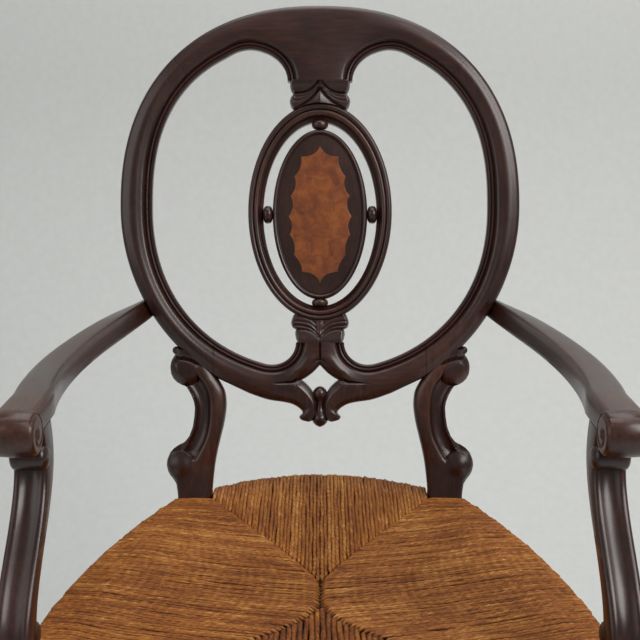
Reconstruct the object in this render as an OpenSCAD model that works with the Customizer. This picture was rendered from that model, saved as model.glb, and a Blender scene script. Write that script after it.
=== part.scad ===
// Rush seat armchair with an oval back. A medallion stands in a ring in the middle of the oval,
// on four turned beads, and the back stands on scrolled posts that run down as the rear legs.
// All sizes are in millimetres. The floor is z = 0 and the chair faces -y. The origin is on the
// floor in the middle of the chair. Left and right are as seen by someone who faces the chair.

/* [Seat] */
// Height of the edge of the seat above the floor
seat_h = 440; // [390:1:480]
// Distance between the middles of the two front legs
front_legs_apart = 476; // [440:1:500]
// Distance between the middles of the two back posts
back_posts_apart = 286; // [270:1:300]
// Distance from the front faces of the back posts to the middle of the front legs
leg_depth = 385; // [340:1:420]
// How far the side rails bow outwards
side_bow = 20; // [5:1:28]
// How far the front rail bows forwards
front_bow = 35; // [10:1:50]
// How far the rear rail bows backwards
rear_bow = 44; // [10:1:55]
// Width of a seat rail, seen from above
rail_w = 22; // [16:1:24]
// Height of a seat rail
rail_h = 24; // [18:1:30]
// Thickness of the rush over a seat rail
rush_t = 5; // [4:0.5:7]
// How far the middle of the seat lies below its edge
seat_dip = 14; // [4:1:16]

/* [Back] */
// Angle by which the back leans backwards, in degrees
back_lean = 13; // [6:0.5:18]
// Height of the lowest point of the oval above the seat, along the back
oval_rise = 102.5; // [95:0.5:115]
// Width of the oval
oval_w = 455; // [430:1:470]
// Height of the oval along the back
oval_h = 457; // [440:1:480]
// Width of the stiles, seen from the front
stile_w = 36; // [28:0.5:40]
// Width of the crest and of the lower rail at the middle of the chair
crest_w = 41; // [34:0.5:46]
// Thickness of the back frame behind its raised face
frame_t = 21; // [16:0.5:26]
// Height of the raised face of the back frame
face_t = 3; // [1:0.5:4]
// Width of the bead that runs round both openings of the back
bead_w = 7; // [3:0.5:9]
// How far the raised face keeps back from the outer edge of the oval
edge_w = 3; // [1:0.5:5]
// Distance of the joint between stile and lower rail from the middle of the chair
rail_joint_x = 121; // [112:1:128]
// Place of the joint between crest and stile, as an angle on the oval
crest_joint_a = 45; // [38:1:52]
// Width of the stem that hangs from the crest
stem_w = 74; // [64:1:80]
// Width of the stub that stands on the lower rail
stub_w = 54; // [48:1:60]

/* [Ring and medallion] */
// Width of the ring
ring_w = 164; // [150:1:170]
// Height of the ring
ring_h = 249; // [235:1:255]
// How far the middle of the ring lies below the middle of the oval
ring_drop = 6.5; // [0:0.5:12]
// Width of the section of the ring
ring_band = 17; // [13:0.5:20]
// Thickness of the ring behind its raised band
ring_t = 14; // [10:0.5:18]
// Width of the medallion
medallion_w = 108; // [98:1:112]
// Height of the medallion
medallion_h = 194; // [182:1:198]
// Thickness of the medallion behind its rim
medallion_t = 13; // [9:0.5:16]
// Width of the rim of the medallion
rim_w = 6; // [4:0.5:8]
// Width of the inlay
inlay_w = 71; // [60:1:78]
// Height of the inlay
inlay_h = 157; // [140:1:164]
// Thickness of the inlay
inlay_t = 1.5; // [1:0.5:2.5]
// Number of scallops round the inlay
scallops = 18; // [12:2:22]
// Diameter of a turned bead
bead_d = 20; // [14:0.5:22]

/* [Legs] */
// Width of a back post at the seat
post_w = 40; // [34:1:42]
// Thickness of a back post
post_t = 32; // [26:1:36]
// How far the rear feet stand behind the posts
rear_rake = 58; // [30:1:80]
// Side of the square block at the top of a front leg
block_w = 44; // [38:1:48]
// Height of the block at the top of a front leg
block_h = 74; // [66:1:84]
// How far that block stands above the edge of the seat
block_rise = 6; // [2:1:10]
// Height of the side stretchers above the floor
side_stretcher_z = 150; // [125:1:165]
// Height of the rear stretcher above the floor
rear_stretcher_z = 205; // [190:1:240]
// Diameter of the round tenons of rails and stretchers
tenon_d = 14; // [11:0.5:15]
// Length of the round tenons of rails and stretchers
tenon_l = 12; // [8:1:12]

/* [Arms] */
// Height of the middle of the arm above the seat at its front end
arm_rise = 200; // [185:1:220]
// Height on the oval at which the arm meets the stile, above the seat and along the back
arm_joint_s = 216.5; // [200:0.5:225]
// How far the middle of the arm's front scroll lies behind the middle of the front leg
arm_setback = 35; // [25:1:70]
// Thickness of an arm, top to bottom
arm_h = 24; // [20:1:28]
// Width of an arm where it meets the stile
arm_w_rear = 19; // [16:1:21]
// Width of an arm at its front end
arm_w_front = 34; // [28:1:38]
// Thickness of an arm support, seen from the front
support_t = 28; // [22:1:32]
// Depth of an arm support at its two ends
support_d = 32; // [26:1:36]
// Diameter of the dowels
dowel_d = 8; // [6:0.5:9]
// Length of the dowels
dowel_l = 32; // [24:1:36]

/* [Fit] */
// Clearance between a tenon, dowel or pin and its hole, on the radius
fit_gap = 0.15; // [0.1:0.05:0.3]
// Clearance between the rush and the wood
rush_gap = 0.3; // [0.2:0.05:0.5]

/* [Hidden] */
$fn = 48;

mahogany = "#33201c";
red_mahogany = "#43261f";
satinwood = "#9a5a30";
rush = "#a0733c";
straw = "#b99a63";
beech = "#c9a678";

// The places of the posts and legs
post_x = back_posts_apart / 2;
leg_x = front_legs_apart / 2;
post_depth = post_t / cos(back_lean);
post_in_x = post_x - post_w / 2;
block_low_z = seat_h + block_rise - block_h;
block_top_z = seat_h + block_rise;
foot_depth = 28;
leg_bulb_r = 19;

// From the middle of a seat rail to the outside of the rush over it
edge_offset = rail_w / 2 + rush_t + rush_gap;

// The oval
oval_mid = oval_rise + oval_h / 2;
ring_mid = oval_mid - ring_drop;
back_length = oval_rise + oval_h;
oval_steps = 96;
outer_top_n = 2.28;
outer_low_n = 2;
inner_top_n = 2.6;
inner_low_n = 2.2;

// The chair's reach forwards and backwards puts its middle at the origin
front_reach = leg_depth + front_bow + edge_offset;
back_reach = back_length * sin(back_lean) + frame_t * cos(back_lean);
foot_reach = post_depth / 2 + rear_rake + foot_depth / 2;
rear_reach = max(back_reach, foot_reach);
y_shift = (front_reach - rear_reach) / 2;

module in_chair() {
    translate([0, y_shift, 0])
        children();
}

// On the leaning back, x runs across, y runs up from the seat and z points out of the front
module on_back() {
    in_chair()
        translate([0, 0, seat_h])
            rotate([90 - back_lean, 0, 0])
                children();
}

module both_sides() {
    children();
    mirror([1, 0, 0])
        children();
}

// A solid through rings of points that all have the same number of points, with flat ends
module loft(rings) {
    n = len(rings[0]);
    last = len(rings) - 1;
    sides = [
        for (i = [0:last - 1], j = [0:n - 1])
            let (k = (j + 1) % n)
            each [
                [i * n + j, (i + 1) * n + j, (i + 1) * n + k],
                [i * n + j, (i + 1) * n + k, i * n + k]
            ]
    ];
    first_end = [for (j = [0:n - 1]) j];
    second_end = [for (j = [n - 1:-1:0]) last * n + j];
    polyhedron(points = [for (r = rings) each r], faces = concat([first_end], sides, [second_end]));
}

// The oval's outlines. Each half of an outline is a superellipse with its own exponent.
function power(a, n) = sign(a) * pow(abs(a), 2 / n);

function oval_point(half_w, half_h, top_n, low_n, a) =
    let (n = sin(a) >= 0 ? top_n : low_n)
    [half_w * power(cos(a), n), oval_mid + half_h * power(sin(a), n)];

function outer_point(a, inset = 0) =
    oval_point(oval_w / 2 - inset, oval_h / 2 - inset, outer_top_n, outer_low_n, a);

function inner_point(a, inset = 0) =
    oval_point(oval_w / 2 - stile_w + inset, oval_h / 2 - crest_w + inset, inner_top_n, inner_low_n, a);

function outer_oval(inset = 0) = [for (i = [0:oval_steps - 1]) outer_point(i * 360 / oval_steps, inset)];
function inner_oval(inset = 0) = [for (i = [0:oval_steps - 1]) inner_point(i * 360 / oval_steps, inset)];

// Height of the outer edge of the oval's lower half at a distance from the middle of the chair
function lower_edge(x) = oval_mid - oval_h / 2 * sqrt(1 - pow(2 * x / oval_w, 2));

function ellipse_points(half_w, half_h, mid, steps = oval_steps) =
    [for (i = [0:steps - 1]) [half_w * cos(i * 360 / steps), mid + half_h * sin(i * 360 / steps)]];

// The stem under the crest and the stub on the lower rail flare into them with round corners
stem_end = ring_mid + ring_h / 2 + 24.5;
stub_end = ring_mid - ring_h / 2 - 24.5;
stem_flare_s = oval_rise + oval_h - crest_w - 8.5;
stub_flare_s = oval_rise + crest_w + 6.5;
stem_run = 45;
stub_run = 27;
flare_more = 26;
flare_h = 12 + crest_w / 2;

// From its end to the line where it meets the rail, each side follows a quarter of an ellipse
module flare(half_w, run, end_s, line_s, inset) {
    up = sign(line_s - end_s);
    rise = line_s - end_s + up * inset;
    corner = [for (a = [0:15:90]) [half_w - inset + (run + inset) * (1 - cos(a)), end_s + rise * sin(a)]];
    reach = half_w + run + flare_more;
    top = end_s + rise;
    right = concat(corner, [[reach, top], [reach, top + up * flare_h]]);
    left = [for (i = [len(right) - 1:-1:0]) [-right[i][0], right[i][1]]];
    polygon(concat(right, left));
}

module frame_face(outer_inset, inner_inset) {
    difference() {
        polygon(outer_oval(outer_inset));
        polygon(inner_oval(inner_inset));
    }
    intersection() {
        polygon(outer_oval(outer_inset));
        union() {
            flare(stem_w / 2, stem_run, stem_end, stem_flare_s, inner_inset);
            flare(stub_w / 2, stub_run, stub_end, stub_flare_s, inner_inset);
        }
    }
}

// The joint between crest and stile is the line through two points at the same place on both ovals
joint_outer = outer_point(crest_joint_a);
joint_inner = inner_point(crest_joint_a);
joint_dir = (joint_outer - joint_inner) / norm(joint_outer - joint_inner);
joint_far = joint_inner + 2.5 * stile_w * joint_dir;
joint_near = joint_inner - stile_w * joint_dir;
zone = 2 * oval_w;

module crest_zone() {
    polygon([
        joint_far, joint_near, [-joint_near[0], joint_near[1]], [-joint_far[0], joint_far[1]],
        [-zone, zone], [zone, zone]
    ]);
}

module stile_zone() {
    polygon([
        [rail_joint_x, 0], [zone, 0], [zone, joint_far[1]], joint_far, joint_near,
        [rail_joint_x, joint_near[1]]
    ]);
}

module lower_zone() {
    polygon([[-rail_joint_x, 0], [rail_joint_x, 0], [rail_joint_x, oval_mid], [-rail_joint_x, oval_mid]]);
}

// Two dowels, a distance apart, cross a joint. The joint's line runs along x here.
module dowel_pair(apart, gap) {
    for (side = [-1, 1])
        translate([side * apart / 2, 0, -frame_t / 2])
            rotate([90, 0, 0])
                cylinder(h = dowel_l + 2 * gap, d = dowel_d + 2 * gap, center = true);
}

// The dowels of the back, as wood or, with a gap, as the holes that they sit in
joint_mid = (joint_outer + joint_inner) / 2;
joint_angle = atan2(joint_dir[1], joint_dir[0]);
post_top_s = lower_edge(post_x);
post_dowel_a = atan2(post_x / oval_w, (oval_mid - post_top_s) / oval_h);
rail_joint_a = atan2(rail_joint_x / oval_w, (oval_mid - lower_edge(rail_joint_x)) / oval_h);

module back_dowel_set(gap) {
    both_sides() {
        translate([joint_mid[0], joint_mid[1], 0])
            rotate(joint_angle)
                dowel_pair(stile_w / 2, gap);
        translate([rail_joint_x, lower_edge(rail_joint_x) + crest_w / 2, 0])
            rotate(90 + rail_joint_a)
                dowel_pair(stile_w / 2, gap);
        translate([post_x, post_top_s, 0])
            rotate(post_dowel_a)
                dowel_pair(0, gap);
    }
    translate([0, stem_end, 0])
        dowel_pair(stem_w / 2, gap);
    translate([0, stub_end, 0])
        dowel_pair(stub_w / 2, gap);
}

module back_dowels() {
    color(beech)
        on_back()
            back_dowel_set(0);
}

// Back frame
module crest_rail() {
    color(mahogany)
        on_back()
            difference() {
                union() {
                    translate([0, 0, -frame_t])
                        linear_extrude(frame_t)
                            intersection() {
                                frame_face(0, 0);
                                crest_zone();
                            }
                    linear_extrude(face_t)
                        intersection() {
                            frame_face(edge_w, bead_w);
                            crest_zone();
                        }
                }
                back_dowel_set(fit_gap);
            }
}

module stile() {
    color(mahogany)
        on_back()
            difference() {
                union() {
                    translate([0, 0, -frame_t])
                        linear_extrude(frame_t)
                            intersection() {
                                frame_face(0, 0);
                                stile_zone();
                            }
                    linear_extrude(face_t)
                        intersection() {
                            frame_face(edge_w, bead_w);
                            stile_zone();
                        }
                }
                back_dowel_set(fit_gap);
                arm_dowel_at_stile(fit_gap);
            }
}

module stile_right() {
    stile();
}

module stile_left() {
    mirror([1, 0, 0])
        stile();
}

// The pierced diamond, the scrolled feet and the drop, measured up from the oval's lowest point.
// The bracket is the right half of the outline that carries the feet.
diamond_top = 47;
diamond_side = [20, 30.5];
diamond_low = 17;
diamond_swell = 1.5;
foot_tip_x = 19.5;
foot_s = -12;
foot_r = 4.4;
neck_x = 20;
neck_s = -8;
bracket = [[46, 10], [34, 4], [26, 0.5], [neck_x + 1.5, -3], [neck_x, neck_s + 1.5], [neck_x, neck_s]];
drop_head_r = 7.2;
drop_head_s = 16;
drop_r = 8.5;
drop_s = -14.5;
drop_neck_w = 7;
drop_tip_w = 10;
drop_tip_h = 3;
drop_proud = 2.5;

function swollen_line(p, q, swell) =
    let (across = [q[1] - p[1], p[0] - q[0]] / norm(q - p))
    [for (i = [0:5]) let (u = i / 6) p + u * (q - p) + 4 * u * (1 - u) * swell * across];

module diamond() {
    top = [0, diamond_top];
    low = [0, diamond_low];
    left = [-diamond_side[0], diamond_side[1]];
    polygon(concat(
        swollen_line(top, left, diamond_swell),
        swollen_line(left, low, diamond_swell),
        swollen_line(low, diamond_side, diamond_swell),
        swollen_line(diamond_side, top, diamond_swell)
    ));
}

module scroll_feet() {
    both_sides() {
        translate([foot_tip_x, foot_s])
            circle(r = foot_r);
        polygon(concat([[0, bracket[0][1]]], bracket, [[0, neck_s]]));
    }
    translate([-foot_tip_x, foot_s - foot_r])
        square([2 * foot_tip_x, 2 * foot_r]);
}

module drop_face() {
    translate([0, drop_head_s])
        circle(r = drop_head_r);
    translate([-drop_neck_w / 2, drop_s])
        square([drop_neck_w, drop_head_s - drop_s]);
    translate([0, drop_s])
        circle(r = drop_r);
    tip_s = drop_s - sqrt(drop_r * drop_r - drop_tip_w * drop_tip_w / 4);
    polygon([[-drop_tip_w / 2, tip_s], [0, tip_s - drop_tip_h], [drop_tip_w / 2, tip_s]]);
}

module lower_rail() {
    color(mahogany)
        on_back()
            difference() {
                union() {
                    translate([0, 0, -frame_t])
                        linear_extrude(frame_t) {
                            intersection() {
                                frame_face(0, 0);
                                lower_zone();
                            }
                            translate([0, oval_rise])
                                scroll_feet();
                        }
                    linear_extrude(face_t)
                        intersection() {
                            frame_face(edge_w, bead_w);
                            lower_zone();
                        }
                }
                translate([0, oval_rise, -frame_t - 1])
                    linear_extrude(frame_t + face_t + 2) {
                        diamond();
                        drop_face();
                    }
                back_dowel_set(fit_gap);
            }
}

module pendant_drop() {
    color(red_mahogany)
        on_back()
            translate([0, oval_rise, -frame_t])
                linear_extrude(frame_t + face_t + drop_proud)
                    drop_face();
}

// Ring with its two leaf collars, and the medallion inside it
ring_in_w = ring_w - 2 * ring_band;
ring_in_h = ring_h - 2 * ring_band - 4;
ring_in_mid = ring_mid - 2;
ring_back = frame_t - 3;
ring_face = ring_back - ring_t;
hollow_w = 8;
medallion_mid = ring_in_mid - 1;
medallion_back = ring_back - 1;
panel_w = medallion_w - 2 * rim_w;
panel_h = medallion_h - 2 * rim_w;
collar_lobe_r = 9;
collar_first = 8;
collar_second = 22;
collar_l = 30;

module collar_face(end_s, up, half_w) {
    for (side = [-1, 1]) {
        translate([side * (half_w - collar_lobe_r), end_s - up * collar_first])
            circle(r = collar_lobe_r);
        translate([side * (half_w - collar_lobe_r), end_s - up * collar_second])
            circle(r = collar_lobe_r);
    }
    inner = end_s - up * collar_l;
    translate([-half_w + collar_lobe_r, min(end_s, inner)])
        square([2 * (half_w - collar_lobe_r), abs(end_s - inner)]);
}

module splat_ring_face(outer_inset, inner_inset) {
    difference() {
        union() {
            polygon(ellipse_points(ring_w / 2 - outer_inset, ring_h / 2 - outer_inset, ring_mid));
            intersection() {
                union() {
                    collar_face(stem_end, 1, stem_w / 2 - 3 - outer_inset);
                    collar_face(stub_end, -1, stub_w / 2 + 6 - outer_inset);
                }
                translate([-zone, stub_end])
                    square([2 * zone, stem_end - stub_end]);
            }
        }
        polygon(ellipse_points(ring_in_w / 2 + inner_inset, ring_in_h / 2 + inner_inset, ring_in_mid));
    }
}

module splat_ring() {
    color(mahogany)
        on_back()
            difference() {
                union() {
                    translate([0, 0, -ring_back])
                        linear_extrude(ring_t)
                            splat_ring_face(0, 0);
                    translate([0, 0, -ring_face])
                        linear_extrude(ring_face)
                            splat_ring_face(1.5, hollow_w);
                }
                back_dowel_set(fit_gap);
                bead_pins(fit_gap);
            }
}

// The scalloped outline of the inlay: shallow bites between outward points
scallop_depth = 0.09;
scallop_steps = 6;

function inlay_outline(gap) = [
    for (i = [0:scallops * scallop_steps - 1])
        let (
            a = 90 + i * 360 / (scallops * scallop_steps),
            bite = 1 - scallop_depth * abs(sin(scallops / 2 * (a - 90)))
        )
        [(inlay_w / 2 * bite + gap) * cos(a), medallion_mid + (inlay_h / 2 * bite + gap) * sin(a)]
];

module medallion() {
    color(mahogany)
        on_back()
            difference() {
                union() {
                    translate([0, 0, -medallion_back])
                        linear_extrude(medallion_t)
                            polygon(ellipse_points(medallion_w / 2, medallion_h / 2, medallion_mid));
                    translate([0, 0, medallion_t - medallion_back])
                        linear_extrude(rim_w / 2)
                            difference() {
                                polygon(ellipse_points(medallion_w / 2, medallion_h / 2, medallion_mid));
                                polygon(ellipse_points(panel_w / 2, panel_h / 2, medallion_mid));
                            }
                }
                translate([0, 0, medallion_t - medallion_back - inlay_t])
                    linear_extrude(inlay_t + 1)
                        polygon(inlay_outline(fit_gap));
                bead_pins(fit_gap);
            }
}

module inlay_panel() {
    color(satinwood)
        on_back()
            translate([0, 0, medallion_t - medallion_back - inlay_t])
                linear_extrude(inlay_t)
                    polygon(inlay_outline(0));
}

// The four beads. Each has a pin at either end, one in the ring and one in the medallion.
pin_d = 5;
pin_l = 7;
bead_z = -ring_back + ring_t / 2;
gap_side = (ring_in_w - medallion_w) / 2;
gap_top = (ring_in_mid + ring_in_h / 2) - (medallion_mid + medallion_h / 2);
gap_low = (medallion_mid - medallion_h / 2) - (ring_in_mid - ring_in_h / 2);
bead_clear = 0.2;
top_bead_s = medallion_mid + medallion_h / 2 + gap_top / 2;
low_bead_s = medallion_mid - medallion_h / 2 - gap_low / 2;
side_bead_x = (medallion_w + gap_side) / 2;

// A flattened ball on a pin, with its axis along y and its middle at the origin
module bead(gap_w) {
    half = gap_w / 2 - bead_clear;
    profile = [for (i = [0:12]) let (a = -75 + i * 12.5) [bead_d / 2 * cos(a), half * sin(a) / sin(75)]];
    rotate([90, 0, 0]) {
        rotate_extrude()
            polygon(concat([[0, -half]], profile, [[0, half]]));
        cylinder(h = gap_w + 2 * pin_l, d = pin_d, center = true);
    }
}

module pin(gap_w, gap) {
    rotate([90, 0, 0])
        cylinder(h = gap_w + 2 * pin_l + 2 * gap, d = pin_d + 2 * gap, center = true);
}

module at_top_bead() {
    translate([0, top_bead_s, bead_z])
        children();
}

module at_low_bead() {
    translate([0, low_bead_s, bead_z])
        children();
}

module at_side_bead() {
    translate([side_bead_x, medallion_mid, bead_z])
        rotate(90)
            children();
}

module bead_pins(gap) {
    at_top_bead()
        pin(gap_top, gap);
    at_low_bead()
        pin(gap_low, gap);
    both_sides()
        at_side_bead()
            pin(gap_side, gap);
}

module bead_top() {
    color(red_mahogany)
        on_back()
            at_top_bead()
                bead(gap_top);
}

module bead_bottom() {
    color(red_mahogany)
        on_back()
            at_low_bead()
                bead(gap_low);
}

module bead_right() {
    color(red_mahogany)
        on_back()
            at_side_bead()
                bead(gap_side);
}

module bead_left() {
    mirror([1, 0, 0])
        bead_right();
}

// Rear legs. The scrolled post is flat work in the plane of the back and the leg below it rakes
// backwards to the floor.
low_volute_r = 17.5;
low_volute = [post_x + 15.3, 37.5];
top_volute_r = 16.5;
top_volute_x = post_x + 11.7;
top_volute_s = lower_edge(top_volute_x) - top_volute_r - 5;
top_ear_r = 6;
top_ear_x = post_x + 20;
notch_r = 47;
notch_x = post_x + notch_r + 1;
notch_s = (low_volute[1] + top_volute_s) / 2 + 8;
bulge = 15;
bulge_s = 0.7 * post_top_s;
shoulder_r = 45;
volute_proud = 2;

function post_inner_edge() = concat(
    [for (i = [0:12]) [post_in_x - bulge * (1 - cos(180 * i / 12)) / 2, bulge_s * i / 12]],
    [for (a = [10:10:70]) [post_in_x - bulge + shoulder_r * (1 - cos(a)), bulge_s + shoulder_r * sin(a)]]
);

module post_face() {
    difference() {
        union() {
            difference() {
                polygon(concat(post_inner_edge(), [[top_ear_x, oval_mid], [post_x + post_w / 2, 0]]));
                translate([notch_x, notch_s])
                    circle(r = notch_r);
            }
            translate([low_volute[0], low_volute[1]])
                circle(r = low_volute_r);
            translate([top_volute_x, top_volute_s])
                circle(r = top_volute_r);
            translate([top_ear_x, lower_edge(top_ear_x) - 2])
                circle(r = top_ear_r);
        }
        polygon(outer_oval());
    }
}

// The leg below the seat is a little slimmer than the post above it
leg_set_in = 0.4;

// How far the middle of the rear leg lies behind the face of the post, at a height
function rake_at(z) = post_depth / 2 + rear_rake * pow(1 - z / seat_h, 1.6);
function leg_depth_at(z) = foot_depth + (post_depth - 2 * leg_set_in - foot_depth) * z / seat_h;

module rear_leg_side() {
    steps = 16;
    front = [for (i = [0:steps]) let (z = seat_h * i / steps) [rake_at(z) - leg_depth_at(z) / 2, z]];
    rear = [for (i = [steps:-1:0]) let (z = seat_h * i / steps) [rake_at(z) + leg_depth_at(z) / 2, z]];
    polygon(concat(front, rear));
}

module rear_leg() {
    color(mahogany)
        difference() {
            union() {
                on_back() {
                    translate([0, 0, -post_t])
                        linear_extrude(post_t)
                            post_face();
                    translate([low_volute[0], low_volute[1], 0])
                        cylinder(h = volute_proud, r1 = low_volute_r - 2, r2 = low_volute_r - 5);
                    translate([top_volute_x, top_volute_s, 0])
                        cylinder(h = volute_proud, r1 = top_volute_r - 2, r2 = top_volute_r - 5);
                }
                in_chair()
                    translate([post_in_x + leg_set_in, 0, 0])
                        rotate([90, 0, 90])
                            linear_extrude(post_w - 2 * leg_set_in)
                                rear_leg_side();
            }
            on_back()
                back_dowel_set(fit_gap);
            in_chair() {
                rear_rail_tenons(fit_gap);
                side_rail_tenons(fit_gap);
                rear_stretcher_tenons(fit_gap);
                side_stretcher_tenons(fit_gap);
            }
        }
}

module rear_leg_right() {
    rear_leg();
}

module rear_leg_left() {
    mirror([1, 0, 0])
        rear_leg();
}

// Turned work. A profile is a list of [radius, height] points.
function swell(r1, z1, r2, z2) =
    [for (i = [0:6]) [r1 + (r2 - r1) * (1 - cos(30 * i)) / 2, z1 + (z2 - z1) * i / 6]];
function ring_bead(r, z, h, proud) = [for (i = [0:6]) [r + proud * sin(30 * i), z + h * i / 6]];

module turned(profile) {
    last = len(profile) - 1;
    rotate_extrude()
        polygon(concat([[0, profile[0][1]]], profile, [[0, profile[last][1]]]));
}

function leg_profile() = concat(
    [[12, 0]],
    swell(14, 2, 12, 34),
    ring_bead(12, 36, 8, 3),
    swell(12, 48, 14, side_stretcher_z - 34),
    ring_bead(14, side_stretcher_z - 30, 8, 3),
    [[17, side_stretcher_z - 20], [18.5, side_stretcher_z - 10], [leg_bulb_r, side_stretcher_z]],
    [[18.5, side_stretcher_z + 10], [17, side_stretcher_z + 20]],
    ring_bead(14, side_stretcher_z + 22, 8, 3),
    swell(13, side_stretcher_z + 34, 19, block_low_z - 44),
    swell(19, block_low_z - 40, 13, block_low_z - 18),
    ring_bead(14, block_low_z - 16, 9, 4),
    [[16, block_low_z - 4], [18, block_low_z]]
);

module front_leg() {
    color(mahogany)
        in_chair()
            difference() {
                union() {
                    translate([leg_x, -leg_depth, 0])
                        turned(leg_profile());
                    translate([leg_x - block_w / 2, -leg_depth - block_w / 2, block_low_z])
                        cube([block_w, block_w, block_h]);
                }
                front_rail_tenons(fit_gap);
                side_rail_tenons(fit_gap);
                side_stretcher_tenons(fit_gap);
                support_dowels(fit_gap);
            }
}

module front_leg_right() {
    front_leg();
}

module front_leg_left() {
    mirror([1, 0, 0])
        front_leg();
}

// Seat rails. Each is a bowed bar with a round tenon at either end.
rail_mid_z = seat_h - rush_t - rush_gap - rail_h / 2;
rail_steps = 12;
side_rear = [post_x + 7, 0];
side_front = [leg_x, -leg_depth + block_w / 2];
rear_end = [post_in_x, post_depth / 2];
front_end = [leg_x - block_w / 2, -leg_depth];

// Points on a line from p to q that bows to its left, moved to the left by an offset. Lines that
// run round the seat clockwise, seen from above, bow outwards.
function bowed(p, q, bow, offset = 0) =
    let (out = [p[1] - q[1], q[0] - p[0]] / norm(q - p))
    [
        for (i = [0:rail_steps])
            let (u = i / rail_steps)
            p + u * (q - p) + (4 * u * (1 - u) * bow + offset) * out
    ];

function reversed(a) = [for (i = [len(a) - 1:-1:0]) a[i]];
function mirrored(a) = [for (p = a) [-p[0], p[1]]];

// A bar between p and q that runs on past both by some extra length
module bowed_bar(p, q, bow, extra = 0) {
    more = extra * (q - p) / norm(q - p);
    outer = bowed(p - more, q + more, bow, rail_w / 2);
    inner = bowed(p - more, q + more, bow, -rail_w / 2);
    translate([0, 0, rail_mid_z - rail_h / 2])
        linear_extrude(rail_h)
            polygon(concat(outer, reversed(inner)));
}

// A round tenon that starts at a point and runs along a level direction
module tenon(p, z, dir, gap) {
    translate([p[0], p[1], z])
        rotate([0, 90, atan2(dir[1], dir[0])])
            translate([0, 0, -3])
                cylinder(h = tenon_l + 3 + gap, d = tenon_d + 2 * gap);
}

module front_rail_tenons(gap) {
    both_sides()
        tenon(front_end, rail_mid_z, [1, 0], gap);
}

module rear_rail_tenons(gap) {
    both_sides()
        tenon(rear_end, rail_mid_z, [1, 0], gap);
}

module side_rail_tenons(gap) {
    both_sides() {
        tenon(side_rear, rail_mid_z, side_rear - side_front, gap);
        tenon(side_front, rail_mid_z, side_front - side_rear, gap);
    }
}

module front_rail() {
    color(beech)
        in_chair() {
            bowed_bar(front_end, [-front_end[0], front_end[1]], front_bow);
            front_rail_tenons(0);
        }
}

module rear_rail() {
    color(beech)
        in_chair() {
            bowed_bar([-rear_end[0], rear_end[1]], rear_end, rear_bow);
            rear_rail_tenons(0);
        }
}

// The ends of a side rail are cut to fit the post and the block, which it meets at an angle
module side_rail() {
    color(beech)
        in_chair() {
            difference() {
                bowed_bar(side_rear, side_front, side_bow, rail_w / 4);
                post_notches(fit_gap);
            }
            intersection() {
                side_rail_tenons(0);
                translate([0, -zone, 0])
                    cube(2 * zone);
            }
        }
}

module side_rail_right() {
    side_rail();
}

module side_rail_left() {
    mirror([1, 0, 0])
        side_rail();
}

// Stretchers. Their ends run into the legs without a shoulder. The two side ones carry the cross
// one at their thickest point.
leg_axis = [leg_x, -leg_depth];
stretcher_rear = [post_x, rake_at(side_stretcher_z) - leg_depth_at(side_stretcher_z) / 2];
stretcher_dir = (leg_axis - stretcher_rear) / norm(leg_axis - stretcher_rear);
stretcher_front = leg_axis - leg_bulb_r * stretcher_dir;
stretcher_mid = (stretcher_rear + stretcher_front) / 2;
side_length = norm(stretcher_front - stretcher_rear);
side_middle_r = 15;
cross_middle_r = 13;
rear_middle_r = 12;
cross_end_x = stretcher_mid[0] - side_middle_r + 1;
rear_stretcher_y = rake_at(rear_stretcher_z);

// The length is that between the legs, and the tenons at both ends come on top of it
function stretcher_profile(length, middle_r) =
    let (half = length / 2, r = tenon_d / 2, neck_r = r + 2)
    concat(
        [[r, -half - tenon_l]],
        swell(r, -half + 4, neck_r + 1.5, -half + 24),
        ring_bead(neck_r, -half + 26, 7, 2.5),
        swell(neck_r, -half + 36, middle_r, -14),
        swell(middle_r, 14, neck_r, half - 36),
        ring_bead(neck_r, half - 33, 7, 2.5),
        swell(neck_r + 1.5, half - 24, r, half - 4),
        [[r, half + tenon_l]]
    );

module side_stretcher_tenons(gap) {
    both_sides() {
        tenon(stretcher_rear, side_stretcher_z, -stretcher_dir, gap);
        tenon(stretcher_front, side_stretcher_z, stretcher_dir, gap);
    }
}

module rear_stretcher_tenons(gap) {
    both_sides()
        tenon([post_in_x, rear_stretcher_y], rear_stretcher_z, [1, 0], gap);
}

module cross_stretcher_tenons(gap) {
    both_sides()
        tenon([cross_end_x, stretcher_mid[1]], side_stretcher_z, [1, 0], gap);
}

module side_stretcher() {
    color(mahogany)
        in_chair()
            difference() {
                translate([stretcher_mid[0], stretcher_mid[1], side_stretcher_z])
                    rotate([0, 90, atan2(stretcher_dir[1], stretcher_dir[0])])
                        turned(stretcher_profile(side_length, side_middle_r));
                cross_stretcher_tenons(fit_gap);
            }
}

module side_stretcher_right() {
    side_stretcher();
}

module side_stretcher_left() {
    mirror([1, 0, 0])
        side_stretcher();
}

module cross_stretcher() {
    color(mahogany)
        in_chair()
            translate([0, stretcher_mid[1], side_stretcher_z])
                rotate([0, 90, 0])
                    turned(stretcher_profile(2 * cross_end_x, cross_middle_r));
}

module rear_stretcher() {
    color(mahogany)
        in_chair()
            translate([0, rear_stretcher_y, rear_stretcher_z])
                rotate([0, 90, 0])
                    turned(stretcher_profile(2 * post_in_x, rear_middle_r));
}

// Rush seat. Its outline follows the rails, and every level of the solid is that outline drawn in
// towards the middle of the seat.
seat_mid = [0, -leg_depth / 2 + 10];
seat_round = 8;
seat_low_z = seat_h - rail_h - 2 * (rush_t + rush_gap);
flat_band = 42;

function seat_outline() =
    let (side = bowed(side_rear, side_front, side_bow, edge_offset))
    reversed(concat(
        bowed([-rear_end[0], rear_end[1]], rear_end, rear_bow, edge_offset),
        side,
        bowed(front_end, [-front_end[0], front_end[1]], front_bow, edge_offset),
        reversed(mirrored(side))
    ));

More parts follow.
